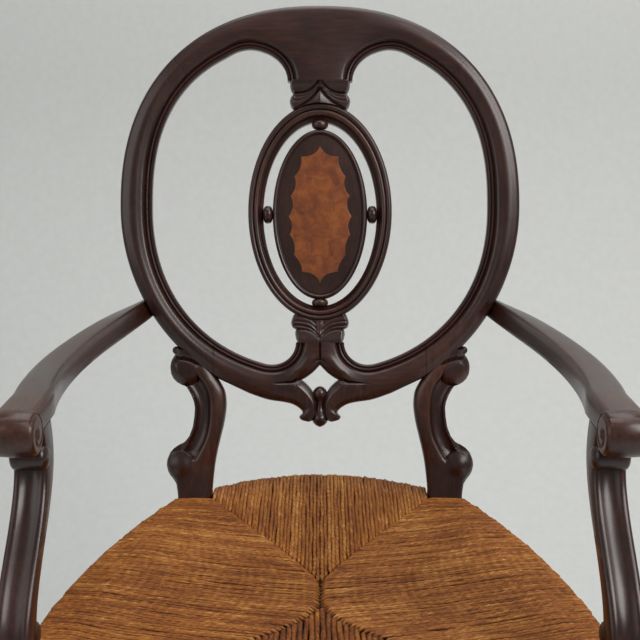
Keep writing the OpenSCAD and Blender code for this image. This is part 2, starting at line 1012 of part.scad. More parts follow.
// The outline drawn in by a distance and then shrunk by a share, at one height
function seat_ring(inset, share, z) = [
    for (p = seat_outline())
        let (arm = p - seat_mid, k = share * (norm(arm) - inset) / norm(arm))
        [seat_mid[0] + k * arm[0], seat_mid[1] + k * arm[1], z]
];

function dished_rings(inset, z, dip) =
    [for (f = [0.8:-0.2:0.2]) seat_ring(inset, f, z - dip * (1 - f * f))];

module seat_form(inset, low_z, top_z, round_r) {
    loft(concat(
        [seat_ring(inset + flat_band, 0.2, low_z)],
        [for (a = [0:30:90]) seat_ring(inset + round_r * (1 - sin(a)), 1, low_z + round_r * (1 - cos(a)))],
        [for (a = [0:30:90]) seat_ring(inset + round_r * (1 - cos(a)), 1, top_z - round_r * (1 - sin(a)))],
        [seat_ring(inset + flat_band, 1, top_z)],
        dished_rings(inset + flat_band, top_z, seat_dip)
    ));
}

module post_notches(gap) {
    both_sides() {
        translate([post_in_x - gap, -gap, 0])
            cube([post_w + 2 * gap, post_depth + 2 * gap + edge_offset, 2 * seat_h]);
        translate([leg_x - block_w / 2 - gap, -leg_depth - block_w / 2 - gap, 0])
            cube([block_w + 2 * gap, block_w + 2 * gap, 2 * seat_h]);
    }
}

module rush_seat() {
    color(rush)
        in_chair()
            difference() {
                seat_form(0, seat_low_z, seat_h, seat_round);
                seat_form(rush_t, seat_low_z + rush_t, seat_h - rush_t, 0.5);
                post_notches(rush_gap);
            }
}

module seat_stuffing() {
    skin = rush_t + rush_gap;
    edge = skin + flat_band;
    color(straw)
        in_chair()
            loft(concat(
                [seat_ring(edge, 0.2, seat_low_z + skin), seat_ring(edge, 1, seat_low_z + skin)],
                [seat_ring(edge, 1, seat_h - skin)],
                dished_rings(edge, seat_h - skin, seat_dip)
            ));
}

// Arms. The side of an arm is fitted to the outer edge of the stile. From there it sweeps
// forwards and out, and it ends in a scroll over its support.
arm_z = seat_h + arm_rise;
arm_reach = leg_depth - arm_setback;
arm_straight = 60;
arm_sweep = 22;
arm_front_x = leg_x + 2;
scroll_r = 19;
arm_side = 12;
joint_share = (oval_mid - arm_joint_s) / (oval_h / 2);
arm_joint_x = oval_w / 2 * sqrt(1 - joint_share * joint_share);
oval_normal = [arm_joint_x / pow(oval_w, 2), -(oval_mid - arm_joint_s) / pow(oval_h, 2)];
arm_out = oval_normal / norm(oval_normal);
arm_clear = 0.2;

// From the plane of the back to the chair
function from_back(x, s, t) = [
    x,
    s * sin(back_lean) - t * cos(back_lean),
    seat_h + s * cos(back_lean) + t * sin(back_lean)
];
function back_vector(x, s, t) = from_back(x, s, t) - from_back(0, 0, 0);

// The four points of the curve along the middle of an arm
arm_sunk = 1.5;
arm_off = arm_w_rear / 2 - arm_sunk;
arm_start = from_back(arm_joint_x + arm_off * arm_out[0], arm_joint_s + arm_off * arm_out[1], -frame_t);
arm_first = arm_start + [4, -50, 4];
arm_second = [arm_front_x + arm_sweep, arm_start[1] - 0.62 * arm_reach, arm_z];
arm_bend = [arm_front_x, -arm_reach + arm_straight, arm_z];

function bezier(p, q, r, s, u) =
    pow(1 - u, 3) * p + 3 * pow(1 - u, 2) * u * q + 3 * (1 - u) * u * u * r + pow(u, 3) * s;

// The arm's section is a rounded bar with a flat underside. Its width and its two directions
// change along the arm.
function arm_ring(mid, width, height, across, up) = [
    for (i = [0:arm_side - 1])
        let (
            a = i * 360 / arm_side,
            x = width / 2 * power(cos(a), 2.8),
            y = height / 2 * (sin(a) < 0 ? max(-1, 1.6 * power(sin(a), 2.8)) : power(sin(a), 2.2))
        )
        mid + x * across + y * up
];

function blend(a, b, u) = a + (b - a) * u;
function unit(v) = v / norm(v);

function arm_rings() =
    let (
        start_up = back_vector(-arm_out[1], arm_out[0], 0),
        start_across = back_vector(arm_out[0], arm_out[1], 0),
        steps = 14
    )
    concat(
        [
            for (i = [0:steps])
                let (
                    u = i / steps,
                    turn = min(1, 2.5 * u),
                    ahead = bezier(arm_start, arm_first, arm_second, arm_bend, u + 0.01)
                        - bezier(arm_start, arm_first, arm_second, arm_bend, u),
                    level = unit([-ahead[1], ahead[0], 0])
                )
                arm_ring(
                    bezier(arm_start, arm_first, arm_second, arm_bend, u),
                    blend(arm_w_rear, arm_w_front, u),
                    blend(arm_h - 2, arm_h, min(1, 3 * u)),
                    unit(blend(start_across, level, turn)),
                    unit(blend(start_up, [0, 0, 1], turn))
                )
        ],
        [arm_ring([arm_front_x, -arm_reach, arm_z], arm_w_front, arm_h, [1, 0, 0], [0, 0, 1])]
    );

// Most of this dowel sits in the stile, because the arm is narrow there
module arm_dowel_at_stile(gap) {
    both_sides()
        on_arm_joint()
            translate([0, 0, -dowel_l / 8])
                cylinder(h = dowel_l + 2 * gap, d = dowel_d + 2 * gap, center = true);
}

// Inside the plane of the back, at the arm's joint and along its outward direction
module on_arm_joint() {
    translate([arm_joint_x, arm_joint_s, -frame_t / 2])
        rotate([0, 0, atan2(arm_out[1], arm_out[0])])
            rotate([0, 90, 0])
                children();
}

module arm() {
    color(mahogany)
        difference() {
            in_chair() {
                loft(arm_rings());
                translate([arm_front_x, -arm_reach, arm_z + arm_h / 2 - scroll_r])
                    rotate([0, 90, 0])
                        cylinder(h = arm_w_front + 4, r = scroll_r, center = true);
            }
            on_back() {
                arm_dowel_at_stile(fit_gap);
                translate([0, 0, -2 * frame_t])
                    linear_extrude(2 * frame_t + face_t + arm_clear)
                        polygon(outer_oval(-arm_clear));
            }
            in_chair()
                support_dowels(fit_gap);
        }
}

module arm_right() {
    arm();
}

module arm_left() {
    mirror([1, 0, 0])
        arm();
}

// Arm supports. Each is an S in the side view, with a scroll at either end.
support_low = [-leg_depth, block_top_z];
support_high = [-arm_reach + scroll_r + support_d / 2 + 3, arm_z - arm_h / 2];
support_steps = 18;
support_waist = 0.72;
support_swing = 12;
support_scroll_r = 11;
support_scroll_proud = 1;

function support_line(u) =
    blend(support_low, support_high, u) - [support_swing * sin(360 * u), 0]
    + [(support_high[0] - support_low[0]) * (0.5 - u - cos(180 * u) / 2), 0];
function support_width(u) = support_d * (support_waist + (1 - support_waist) * pow(2 * u - 1, 2));

module support_side() {
    shares = [for (i = [0:support_steps]) i / support_steps];
    front = [for (u = shares) support_line(u) - [support_width(u) / 2, 0]];
    rear = [for (u = shares) support_line(u) + [support_width(u) / 2, 0]];
    polygon(concat(front, reversed(rear)));
}

// A scroll on the edge of the support, at a share of its height and on its rear or front side
module support_scroll(share, side) {
    mid = support_line(share) + [side * (support_width(share) / 2 - 1), 0];
    translate([leg_x, mid[0], mid[1]])
        rotate([0, 90, 0])
            cylinder(h = support_t + 2 * support_scroll_proud, r = support_scroll_r, center = true);
}

module support_dowels(gap) {
    both_sides() {
        translate([leg_x, support_low[0], support_low[1]])
            cylinder(h = dowel_l + 2 * gap, d = dowel_d + 2 * gap, center = true);
        translate([leg_x, support_high[0], support_high[1]])
            cylinder(h = arm_h + 2 * gap, d = dowel_d + 2 * gap, center = true);
    }
}

module arm_support() {
    color(mahogany)
        in_chair()
            difference() {
                union() {
                    translate([leg_x - support_t / 2, 0, 0])
                        rotate([90, 0, 90])
                            linear_extrude(support_t)
                                support_side();
                    support_scroll(0.16, 1);
                    support_scroll(0.86, -1);
                }
                support_dowels(fit_gap);
            }
}

module arm_support_right() {
    arm_support();
}

module arm_support_left() {
    mirror([1, 0, 0])
        arm_support();
}

module arm_dowels() {
    color(beech) {
        on_back()
            arm_dowel_at_stile(0);
        in_chair()
            support_dowels(0);
    }
}

crest_rail();
stile_left();
stile_right();
lower_rail();
pendant_drop();
splat_ring();
medallion();
inlay_panel();
bead_top();
bead_bottom();
bead_left();
bead_right();
rear_leg_left();
rear_leg_right();
front_leg_left();
front_leg_right();
arm_left();
arm_right();
arm_support_left();
arm_support_right();
front_rail();
rear_rail();
side_rail_left();
side_rail_right();
rear_stretcher();
cross_stretcher();
side_stretcher_left();
side_stretcher_right();
rush_seat();
seat_stuffing();
back_dowels();
arm_dowels();
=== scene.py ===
# %% [markdown]
# # An oval-back armchair with a rush seat
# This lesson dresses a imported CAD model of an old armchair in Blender. The CAD gives every piece
# its size and place. Here each piece gets the rounded edges, the carving, the strands of rush and
# the polish that a person sees. The CAD could also be used as it is, but its carving is flat and
# its seat is one smooth skin. Lengths are written in millimetres and turned to metres by MM.

import math
import random

import bmesh
import bpy
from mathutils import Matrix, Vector, noise


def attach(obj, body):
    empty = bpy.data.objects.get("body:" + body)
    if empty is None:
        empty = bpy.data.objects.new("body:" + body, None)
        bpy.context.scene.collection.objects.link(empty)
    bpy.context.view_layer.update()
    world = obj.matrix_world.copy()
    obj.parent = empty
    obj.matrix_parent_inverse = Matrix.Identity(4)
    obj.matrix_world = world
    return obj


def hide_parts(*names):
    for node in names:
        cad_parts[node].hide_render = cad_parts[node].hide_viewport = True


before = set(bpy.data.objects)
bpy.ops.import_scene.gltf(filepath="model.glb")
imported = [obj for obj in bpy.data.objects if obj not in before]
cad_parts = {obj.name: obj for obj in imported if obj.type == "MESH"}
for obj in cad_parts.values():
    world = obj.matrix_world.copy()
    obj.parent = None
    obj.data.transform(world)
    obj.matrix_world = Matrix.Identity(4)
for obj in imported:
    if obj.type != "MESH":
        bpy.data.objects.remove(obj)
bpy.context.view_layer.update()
MM = 0.001
print("pieces in the frame:", len(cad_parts))

# %% [markdown]
# ## Where things are
# Two sets of directions are handy. Seat points are plain x, y and height, with y = 0 at the front
# faces of the back posts. Back points lie in the leaning plane of the back: x across, s up the
# slope from the seat, and t out of the front of it. Both are turned into the frame's metres here.
# The back could be built upright and the object turned, but then its place would not be in its
# mesh, and a pattern on Object coordinates would turn with it.

# %% Directions on the chair
SEAT_H = 440.0
LEAN = math.radians(13.0)
OVAL_RISE, OVAL_W, OVAL_H = 102.5, 455.0, 457.0
OVAL_MID, OVAL_TOP = OVAL_RISE + OVAL_H / 2, OVAL_RISE + OVAL_H
FRAME_T, FACE_T = 21.0, 3.0
FRONT_LEG_Y, FRONT_BOW, EDGE = -385.0, 35.0, 16.3
FRONT_REACH = FRONT_BOW + EDGE - FRONT_LEG_Y
BACK_REACH = OVAL_TOP * math.sin(LEAN) + FRAME_T * math.cos(LEAN)
Y_SHIFT = (FRONT_REACH - BACK_REACH) / 2


def seat_point(x, y, z):
    return Vector((x, y + Y_SHIFT, z)) * MM


def back_point(x, s, t):
    y = s * math.sin(LEAN) - t * math.cos(LEAN)
    z = SEAT_H + s * math.cos(LEAN) + t * math.sin(LEAN)
    return seat_point(x, y, z)


print("top of the oval:", [round(v, 4) for v in back_point(0, OVAL_TOP, 0)])

# %% [markdown]
# ## Colours and nodes
# Colours are written as hex values, as a painter's chart gives them, and turned into the linear
# values that Blender works with. One small helper adds a node, sets its sockets and links it.
# Another turns the size of a fleck or a streak, in millimetres, into the scale of a noise. Where
# a Mapping node stretches the noise, the flecks get that many times smaller in that direction.

# %% Material helpers
def hex_colour(code):
    channels = [int(code[i:i + 2], 16) / 255 for i in (1, 3, 5)]
    linear = [c / 12.92 if c <= 0.04045 else ((c + 0.055) / 1.055) ** 2.4 for c in channels]
    return (*linear, 1.0)


def new_material(name):
    material = bpy.data.materials.new(name)
    material.use_nodes = True
    material.node_tree.nodes.clear()
    return material


def add(material, kind, settings=None, **links):
    """Adds a node. Settings are properties or socket values, and links give the sockets it reads.

    A link is named for its input, with two underscores for a space, or _2 for input number 2.
    """
    tree = material.node_tree
    node = tree.nodes.new(kind)
    for key, value in (settings or {}).items():
        if isinstance(key, int) or key in node.inputs:
            node.inputs[key].default_value = value
        else:
            setattr(node, key, value)
    for key, source in links.items():
        socket = node.inputs[int(key[1:])] if key[0] == "_" else node.inputs[key.replace("__", " ")]
        tree.links.new(source, socket)
    return node


def scale_for(size):
    """The scale of a noise whose flecks are about this many millimetres across."""
    return 1.0 / (size * MM)


def ramp(material, source, stops):
    node = add(material, "ShaderNodeValToRGB", Fac=source)
    elements = node.color_ramp.elements
    while len(elements) < len(stops):
        elements.new(0.5)
    for element, (position, colour) in zip(elements, stops):
        element.position = position
        element.color = hex_colour(colour)
    return node.outputs["Color"]


print("white in linear values:", hex_colour("#ffffff"))

# %% [markdown]
# ## Polished mahogany
# The chair is dark red-brown mahogany under an old shellac polish. Mahogany has long soft streaks
# and short dark pores along the grain. The polish fills the pores, so the surface is smooth and
# has a satin gloss, a little duller where the grain is open. Hands have rubbed some parts down to
# a redder brown, and a value on the points says where. On one spot of each post's ball the same
# value paints the redder brown as a glow of light. A wave texture could draw stripes, but they
# would be too even, so stretched noise is used. The grain runs along each piece, so there is one
# material for each direction of grain, made by one function.

# %% Mahogany
ACROSS_GRAIN, ALONG_GRAIN = 6.0, 0.7
STREAK, CLOUD, PORE = 18.18, 90.9, 2.38
RUBBED = [(0.5, "#30140c"), (0.72, "#44200f"), (0.98, "#602f17")]


def mahogany(name, stretch, dark="#1e0d0a", middle="#2a130e", warm="#401c14", rough=0.31):
    """Streaks 3 mm wide and 26 mm long over soft clouds, with pores 0.4 mm wide in the bump."""
    material = new_material(name)
    place = add(material, "ShaderNodeTexCoord").outputs["Object"]
    along = add(material, "ShaderNodeMapping", {"Scale": stretch}, Vector=place).outputs["Vector"]
    grain = {"Scale": scale_for(STREAK), "Detail": 6.0, "Roughness": 0.62}
    streak = add(material, "ShaderNodeTexNoise", grain, Vector=along).outputs["Fac"]
    cloud = add(material, "ShaderNodeTexNoise", {"Scale": scale_for(CLOUD), "Detail": 3.0},
                Vector=place).outputs["Fac"]
    pores = add(material, "ShaderNodeTexNoise", {"Scale": scale_for(PORE), "Detail": 2.0},
                Vector=along).outputs["Fac"]
    tone = add(material, "ShaderNodeMath", {"operation": "MULTIPLY_ADD", 1: 0.45},
               _0=cloud, _2=streak).outputs[0]
    polished = ramp(material, tone, [(0.5, dark), (0.72, middle), (0.98, warm)])
    rubbed = ramp(material, tone, RUBBED)
    # The value read here marks rubbed wear, and on the posts' balls a painted reddish glow of light.
    wear_and_glow = add(material, "ShaderNodeAttribute", {"attribute_name": "wear_and_glow"}).outputs["Fac"]
    patchy = add(material, "ShaderNodeMath", {"operation": "MULTIPLY_ADD", 1: 1.6, 2: -0.3},
                 _0=cloud).outputs[0]
    share = add(material, "ShaderNodeMath", {"operation": "MULTIPLY", "use_clamp": True},
                _0=wear_and_glow, _1=patchy).outputs[0]
    colour = add(material, "ShaderNodeMix", {"data_type": "RGBA"}, _0=share, _6=polished, _7=rubbed).outputs[2]
    limits = {"From Min": 0.3, "From Max": 0.7, "To Min": rough - 0.05, "To Max": rough + 0.09}
    gloss = add(material, "ShaderNodeMapRange", limits, Value=cloud).outputs["Result"]
    bump = add(material, "ShaderNodeBump", {"Strength": 0.16, "Distance": 0.6 * MM}, Height=pores)
    shellac = {"IOR": 1.5, "Coat Weight": 0.22, "Coat Roughness": 0.18}
    shader = add(material, "ShaderNodeBsdfPrincipled", shellac,
                 Base__Color=colour, Roughness=gloss, Normal=bump.outputs["Normal"])
    add(material, "ShaderNodeOutputMaterial", Surface=shader.outputs["BSDF"])
    print("made", name)
    return material


MAHOGANY_UP = mahogany("mahogany_upright_grain", (ACROSS_GRAIN, ACROSS_GRAIN, ALONG_GRAIN))
MAHOGANY_LONG = mahogany("mahogany_fore_and_aft_grain", (ACROSS_GRAIN, ALONG_GRAIN, ACROSS_GRAIN))
MAHOGANY_ACROSS = mahogany("mahogany_cross_grain", (ALONG_GRAIN, ACROSS_GRAIN, ACROSS_GRAIN))
MAHOGANY_RED = mahogany("mahogany_reddish_carving", (5.0, 5.0, 0.9), "#190c0a", "#2c1512", "#4b2519", 0.26)

# %% [markdown]
# ## Beech and packing inside the seat, painted dark as shade
# The seat rails are plain unpolished beech, wound over with rush. Cut rush and straw are packed
# between the two layers of the seat. Both are only seen in the gaps between the strands, so both are
# painted dark browns that stand in for the shade there. Both are dull and finely flecked, and
# hardly seen, so one short function makes both from a single noise.

# %% Beech and packing
def dull_filling(name, fleck, dark, light, rough, shine):
    material = new_material(name)
    place = add(material, "ShaderNodeTexCoord").outputs["Object"]
    flecks = add(material, "ShaderNodeTexNoise", {"Scale": scale_for(fleck), "Detail": 3.0}, Vector=place)
    colour = ramp(material, flecks.outputs["Fac"], [dark, light])
    shader = add(material, "ShaderNodeBsdfPrincipled", {"Roughness": rough, "Specular IOR Level": shine},
                 Base__Color=colour)
    add(material, "ShaderNodeOutputMaterial", Surface=shader.outputs["BSDF"])
    print("made", name)
    return material


# The beech is darkened as painted shade, as it is only seen in the gaps between the strands.
BEECH_PAINTED_SHADE = dull_filling("beech_unpolished_painted_shade", 3.33, (0.3, "#4a3322"), (0.7, "#6b4d33"), 0.75, 0.5)
# The packing's near-black browns are painted shade in the gaps along the seams.
PACKING_PAINTED_SHADE = dull_filling("rush_packing_painted_shade", 2.86, (0.35, "#170d06"), (0.7, "#2a190c"), 0.9, 0.1)

# %% [markdown]
# ## Burr satinwood
# The panel in the middle of the medallion is a veneer of golden brown burr wood under polish. Burr
# grows in knots, so its figure is a mottle with no direction. A picture of burr would be the usual
# way, but a noise that is bent by its own distortion gives the same cloudy figure at any size.

# %% Satinwood
MOTTLE, BLOTCH = 13.33, 41.7


def burr_satinwood():
    """A mottle of 13 mm over wider blotches of 42 mm."""
    material = new_material("satinwood_burr_veneer")
    place = add(material, "ShaderNodeTexCoord").outputs["Object"]
    figure = {"Scale": scale_for(MOTTLE), "Detail": 5.0, "Roughness": 0.65, "Distortion": 0.8}
    mottle = add(material, "ShaderNodeTexNoise", figure, Vector=place).outputs["Fac"]
    blotch = add(material, "ShaderNodeTexNoise", {"Scale": scale_for(BLOTCH), "Detail": 2.0},
                 Vector=place).outputs["Fac"]
    tone = add(material, "ShaderNodeMath", {"operation": "MULTIPLY_ADD", 1: 0.5},
               _0=blotch, _2=mottle).outputs[0]
    colour = ramp(material, tone, [(0.5, "#542613"), (0.72, "#763b17"), (0.98, "#955322")])
    polish = {"IOR": 1.5, "Roughness": 0.38, "Coat Weight": 0.3, "Coat Roughness": 0.2}
    shader = add(material, "ShaderNodeBsdfPrincipled", polish, Base__Color=colour)
    add(material, "ShaderNodeOutputMaterial", Surface=shader.outputs["BSDF"])
    print("made", material.name)
    return material


SATINWOOD = burr_satinwood()

# %% [markdown]
# ## Give the CAD pieces their wood
# A piece whose CAD shape is right keeps it and only gets its material. The direction of the grain
# is the direction in which a joiner would cut the piece from the plank. The CAD pieces that a
# carved or turned piece replaces further down get their wood here too.

# %% Wood for the CAD nodes
UPRIGHT = ["stile_left", "stile_right", "splat_ring", "medallion", "rear_leg_left", "rear_leg_right",
           "front_leg_left", "front_leg_right", "arm_support_left", "arm_support_right"]
LENGTHWISE = ["arm_left", "arm_right", "side_stretcher_left", "side_stretcher_right"]
CROSSWISE = ["crest_rail", "lower_rail", "rear_stretcher", "cross_stretcher"]
REDDISH = ["pendant_drop", "bead_top", "bead_bottom", "bead_left", "bead_right"]
HIDDEN = ["front_rail", "rear_rail", "side_rail_left", "side_rail_right", "back_dowels", "arm_dowels"]


def finish_nodes(names, material):
    for name in names:
        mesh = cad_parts[name].data
        mesh.materials.clear()
        mesh.materials.append(material)


finish_nodes(UPRIGHT, MAHOGANY_UP)
finish_nodes(LENGTHWISE, MAHOGANY_LONG)
finish_nodes(CROSSWISE, MAHOGANY_ACROSS)
finish_nodes(REDDISH, MAHOGANY_RED)
finish_nodes(HIDDEN, BEECH_PAINTED_SHADE)
finish_nodes(["inlay_panel"], SATINWOOD)
print("nodes with a finish:", len(UPRIGHT + LENGTHWISE + CROSSWISE + REDDISH + HIDDEN) + 1)

# %% [markdown]
# ## Rush
# Rush is a marsh grass. The leaves are twisted by hand into a strand 4 to 6 mm thick, which is
# wound over the rails. Each strand has its own brown, lighter where it was pulled dry, and its
# palest golden dashes are partly that pale leaf and partly painted glints. The sides of each strand
# that face inwards, where it meets its neighbours, get a painted dark brown as the shade between the
# strands. A pattern on Object coordinates would run straight across all strands alike, so four
# values travel with the points of each strand and the material reads them: strand, a number of its
# own; run, the millimetres along it; side, the number of the point round it; and crown, which is 1
# where it faces out and -1 underneath, and which places the painted shade.

# %% Rush material
# The palest stops are partly the dry leaf and partly painted golden glints, which the fibre noise scatters as
# short dashes.
RUSH_TONES = [(0.0, "#4b250f"), (0.25, "#713c15"), (0.5, "#95571f"), (0.75, "#b57a38"), (1.0, "#dcae6c")]
# The dark brown below is painted shade, for the sides of the strands that face inwards.
RUSH_PAINTED_SHADE = "#231108"
STREAK_LENGTH, FIBRE_LENGTH, RUSH_PATCH = 33.33, 5.882, 62.5
STRAND_APART, STREAK_SIDE, FIBRE_SIDE = 90.0, 0.3, 1.5


def twisted_rush():
    """Pale and dark streaks 33 mm long, fibres 6 mm long in a slight bump, and painted shade between strands.
    """
    material = new_material("rush_hand_twisted")
    own, run, side, crown = (add(material, "ShaderNodeAttribute", {"attribute_name": name}).outputs["Fac"]
                             for name in ("strand", "run", "side", "crown"))
    on_strand = add(material, "ShaderNodeCombineXYZ", X=run, Y=own, Z=side).outputs["Vector"]

    def along_strand(length, side_scale, rough):
        stretch = {"Scale": (1 / length, STRAND_APART, side_scale)}
        spot = add(material, "ShaderNodeMapping", stretch, Vector=on_strand).outputs["Vector"]
        grain = {"Scale": 1.0, "Detail": 4.0, "Roughness": rough}
        return add(material, "ShaderNodeTexNoise", grain, Vector=spot).outputs["Fac"]

    streak = along_strand(STREAK_LENGTH, STREAK_SIDE, 0.6)
    fibres = along_strand(FIBRE_LENGTH, FIBRE_SIDE, 0.65)
    place = add(material, "ShaderNodeTexCoord").outputs["Object"]
    patch = add(material, "ShaderNodeTexNoise", {"Scale": scale_for(RUSH_PATCH), "Detail": 3.0},
                Vector=place).outputs["Fac"]
    mixed = add(material, "ShaderNodeMath", {"operation": "MULTIPLY", 1: 0.14}, _0=own).outputs[0]
    for source, weight in ((streak, 0.3), (fibres, 0.95), (patch, 0.4)):
        mixed = add(material, "ShaderNodeMath", {"operation": "MULTIPLY_ADD", 1: weight},
                    _0=source, _2=mixed).outputs[0]
    tone = add(material, "ShaderNodeMapRange", {"From Min": 0.6, "From Max": 1.2},
               Value=mixed).outputs["Result"]
    # The palest dashes of this body colour are partly painted glints.
    body = ramp(material, tone, RUSH_TONES)
    # Painted shade: the less a side of a strand faces out, the more its colour is mixed towards the dark brown,
    # as the shade between the strands.
    clear = add(material, "ShaderNodeMapRange", {"From Min": -0.1, "From Max": 0.75},
                Value=crown).outputs["Result"]
    colour = add(material, "ShaderNodeMix", {"data_type": "RGBA", 6: hex_colour(RUSH_PAINTED_SHADE)},
                 _0=clear, _7=body).outputs[2]
    bump = add(material, "ShaderNodeBump", {"Strength": 0.5, "Distance": 1.2 * MM}, Height=fibres)
    dry_leaf = {"IOR": 1.45, "Roughness": 0.55, "Specular IOR Level": 0.3}
    shader = add(material, "ShaderNodeBsdfPrincipled", dry_leaf,
                 Base__Color=colour, Normal=bump.outputs["Normal"])
    add(material, "ShaderNodeOutputMaterial", Surface=shader.outputs["BSDF"])
    print("made", material.name)
    return material


RUSH = twisted_rush()

# %% [markdown]
# ## One tool for swept work
# Most pieces of a chair are a section carried along a line. A curve with a bevel could do this,
# but its section can't change its shape on the way. So this tool starts with a circle of points,
# puts them on the first section and extrudes the edges once for each further section. Several
# strands can be swept side by side: then each section holds the points of all of them. Marks are
# values that the points carry for the materials.

# %% Sweep
def sweep(sections, around, closed=False, marks=None):
    """Sweeps rings of `around` points. A closed sweep joins its last section to its first."""
    marks = marks or {}
    form = bmesh.new()
    form.verts.layers.int.new("place")
    for name in marks:
        form.verts.layers.float.new(name)
    place = form.verts.layers.int["place"]
    layers = {name: form.verts.layers.float[name] for name in marks}

    def settle(verts, number):
        for vert in verts:
            vert.co = sections[number][vert[place]]
            for name, layer in layers.items():
                vert[layer] = marks[name][number][vert[place]]

    for strand in range(len(sections[0]) // around):
        circle = bmesh.ops.create_circle(form, cap_ends=False, segments=around, radius=0.01)["verts"]
        for number, vert in enumerate(circle):
            vert[place] = strand * around + number
    settle(form.verts, 0)
    edges = list(form.edges)
    for station in list(range(1, len(sections))) + ([0] if closed else []):
        grown = bmesh.ops.extrude_edge_only(form, edges=edges)["geom"]
        fresh = {part for part in grown if isinstance(part, bmesh.types.BMVert)}
        settle(fresh, station)
        edges = [part for part in grown
                 if isinstance(part, bmesh.types.BMEdge) and fresh.issuperset(part.verts)]
    if closed:
        bmesh.ops.remove_doubles(form, verts=form.verts, dist=0.001)
    else:
        rims = [edge for edge in form.edges if edge.is_boundary]
        bmesh.ops.holes_fill(form, edges=rims, sides=0)
    bmesh.ops.recalc_face_normals(form, faces=form.faces)
    form.verts.layers.int.remove(form.verts.layers.int["place"])
    return form


def show(form, name, material, nodes=(), crease=38.0):
    """Turns a form into a piece of the chair. Edges sharper than the crease angle stay crisp."""
    for face in form.faces:
        face.smooth = True
    for edge in form.edges:
        edge.smooth = edge.calc_face_angle(0.0) < math.radians(crease)
    mesh = bpy.data.meshes.new(name)
    form.to_mesh(mesh)
    form.free()
    mesh.materials.append(material)
    piece = bpy.data.objects.new(name, mesh)
    bpy.context.scene.collection.objects.link(piece)
    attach(piece, "root")
    if nodes:
        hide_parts(*nodes)
    print(name, "has", len(mesh.polygons), "faces")


# %% [markdown]
# ## The outline of the seat
# The seat follows its four bowed rails, with the rush lying a little outside them. Each edge is a
# formula, so that the strands, the packing and the rails agree on where it is.

# %% Seat outline
REAR_LEG_Y = 16.42
REAR_HALF, FRONT_HALF = 123, 216
REAR_BOW, SIDE_BOW = 44.0, 20.0
SIDE_REAR, SIDE_FRONT = Vector((150.0, 0.0)), Vector((238.0, -363.0))
FRONT_CORNER, REAR_CORNER = Vector((FRONT_HALF, FRONT_LEG_Y)), Vector((REAR_HALF, REAR_LEG_Y))


def front_edge(x):
    return FRONT_CORNER.y - EDGE - FRONT_BOW * (1 - (x / FRONT_CORNER.x) ** 2)


def rear_edge(x):
    return REAR_CORNER.y + EDGE + REAR_BOW * (1 - (x / REAR_CORNER.x) ** 2)


def side_spot(u):
    """The right-hand edge, from its rear end at u = 0 to its front end at u = 1."""
    run = SIDE_FRONT - SIDE_REAR
    out = Vector((-run.y, run.x)).normalized()
    return SIDE_REAR + run * u + out * (4 * u * (1 - u) * SIDE_BOW + EDGE)


def side_edge(y):
    """Halves the stretch of the edge that holds y until it is a point."""
    low, high = 0.0, 1.0
    for _ in range(30):
        u = (low + high) / 2
        if side_spot(u).y > y:
            low = u
        else:
            high = u
    return side_spot(low).x


def seat_outline():
    rear = [Vector((x, rear_edge(x))) for x in range(-REAR_HALF, REAR_HALF + 1, 6)]
    side = [side_spot(i / 24) for i in range(25)]
    front = [Vector((x, front_edge(x))) for x in range(FRONT_HALF, -FRONT_HALF - 1, -8)]
    return rear + side + front + [Vector((-p.x, p.y)) for p in reversed(side)]


OUTLINE = seat_outline()
print("points on the outline of the seat:", len(OUTLINE))

# %% [markdown]
# ## The dip of the seat
# The top is level near the rails and dips towards the middle, where people have sat. A lattice or
# a sculpt brush could press it down, but a formula can be asked for the dip at any point. It needs
# the distance from the middle to the outline, which is kept in a table, one entry per degree.

# %% Seat dip
SEAT_MID = Vector((0.0, -182.5))
FLAT_BAND, DIP = 42.0, 14.0


def reach_table(outline):
    table = []
    for degree in range(360):
        ray = Vector((math.cos(math.radians(degree)), math.sin(math.radians(degree))))
        best = 0.0
        for p, q in zip(outline, outline[1:] + outline[:1]):
            a, b = p - SEAT_MID, q - SEAT_MID
            across_a, across_b = ray.cross(a), ray.cross(b)
            if across_a * across_b <= 0 and across_a != across_b:
                hit = a + (b - a) * (across_a / (across_a - across_b))
                best = max(best, hit.dot(ray))
        table.append(best)
    return table


REACH = reach_table(OUTLINE)


def dip_at(x, y):
    arm = Vector((x, y)) - SEAT_MID
    degree = math.degrees(math.atan2(arm.y, arm.x)) % 360
    first = int(degree) % 360
    share = degree - int(degree)
    reach = REACH[first] * (1 - share) + REACH[(first + 1) % 360] * share
    fraction = min(1.0, arm.length / (reach - FLAT_BAND))
    return DIP * (1 - fraction ** 2)


print("dip in the middle of the seat:", round(dip_at(*SEAT_MID), 1), "mm")

# %% [markdown]
# ## Where the four gores meet
# A rush seat is woven from the corners inwards, so it ends in four gores, like the flaps of an
# envelope, which meet along curved seams. The front and rear seams are powers of the distance
# from the middle line, which start steep and level out. Each has an inverse for the side gores.

# %% Seams
FRONT_FORK, REAR_FORK = -222.5, -180.7
FRONT_RUN, FRONT_SPREAD, FRONT_POWER = 76.5, 54.0, 0.565
REAR_RUN, REAR_SPREAD, REAR_POWER = 104.4, 63.9, 0.8275


def seam_front(x):
    return FRONT_FORK - FRONT_RUN * (abs(x) / FRONT_SPREAD) ** FRONT_POWER


def seam_rear(x):
    return REAR_FORK + REAR_RUN * (abs(x) / REAR_SPREAD) ** REAR_POWER


def seam_front_x(y):
    return FRONT_SPREAD * ((FRONT_FORK - y) / FRONT_RUN) ** (1 / FRONT_POWER)


def seam_rear_x(y):
    return REAR_SPREAD * ((y - REAR_FORK) / REAR_RUN) ** (1 / REAR_POWER)


print("plain seam in the middle:", round(REAR_FORK - FRONT_FORK, 1), "mm long")

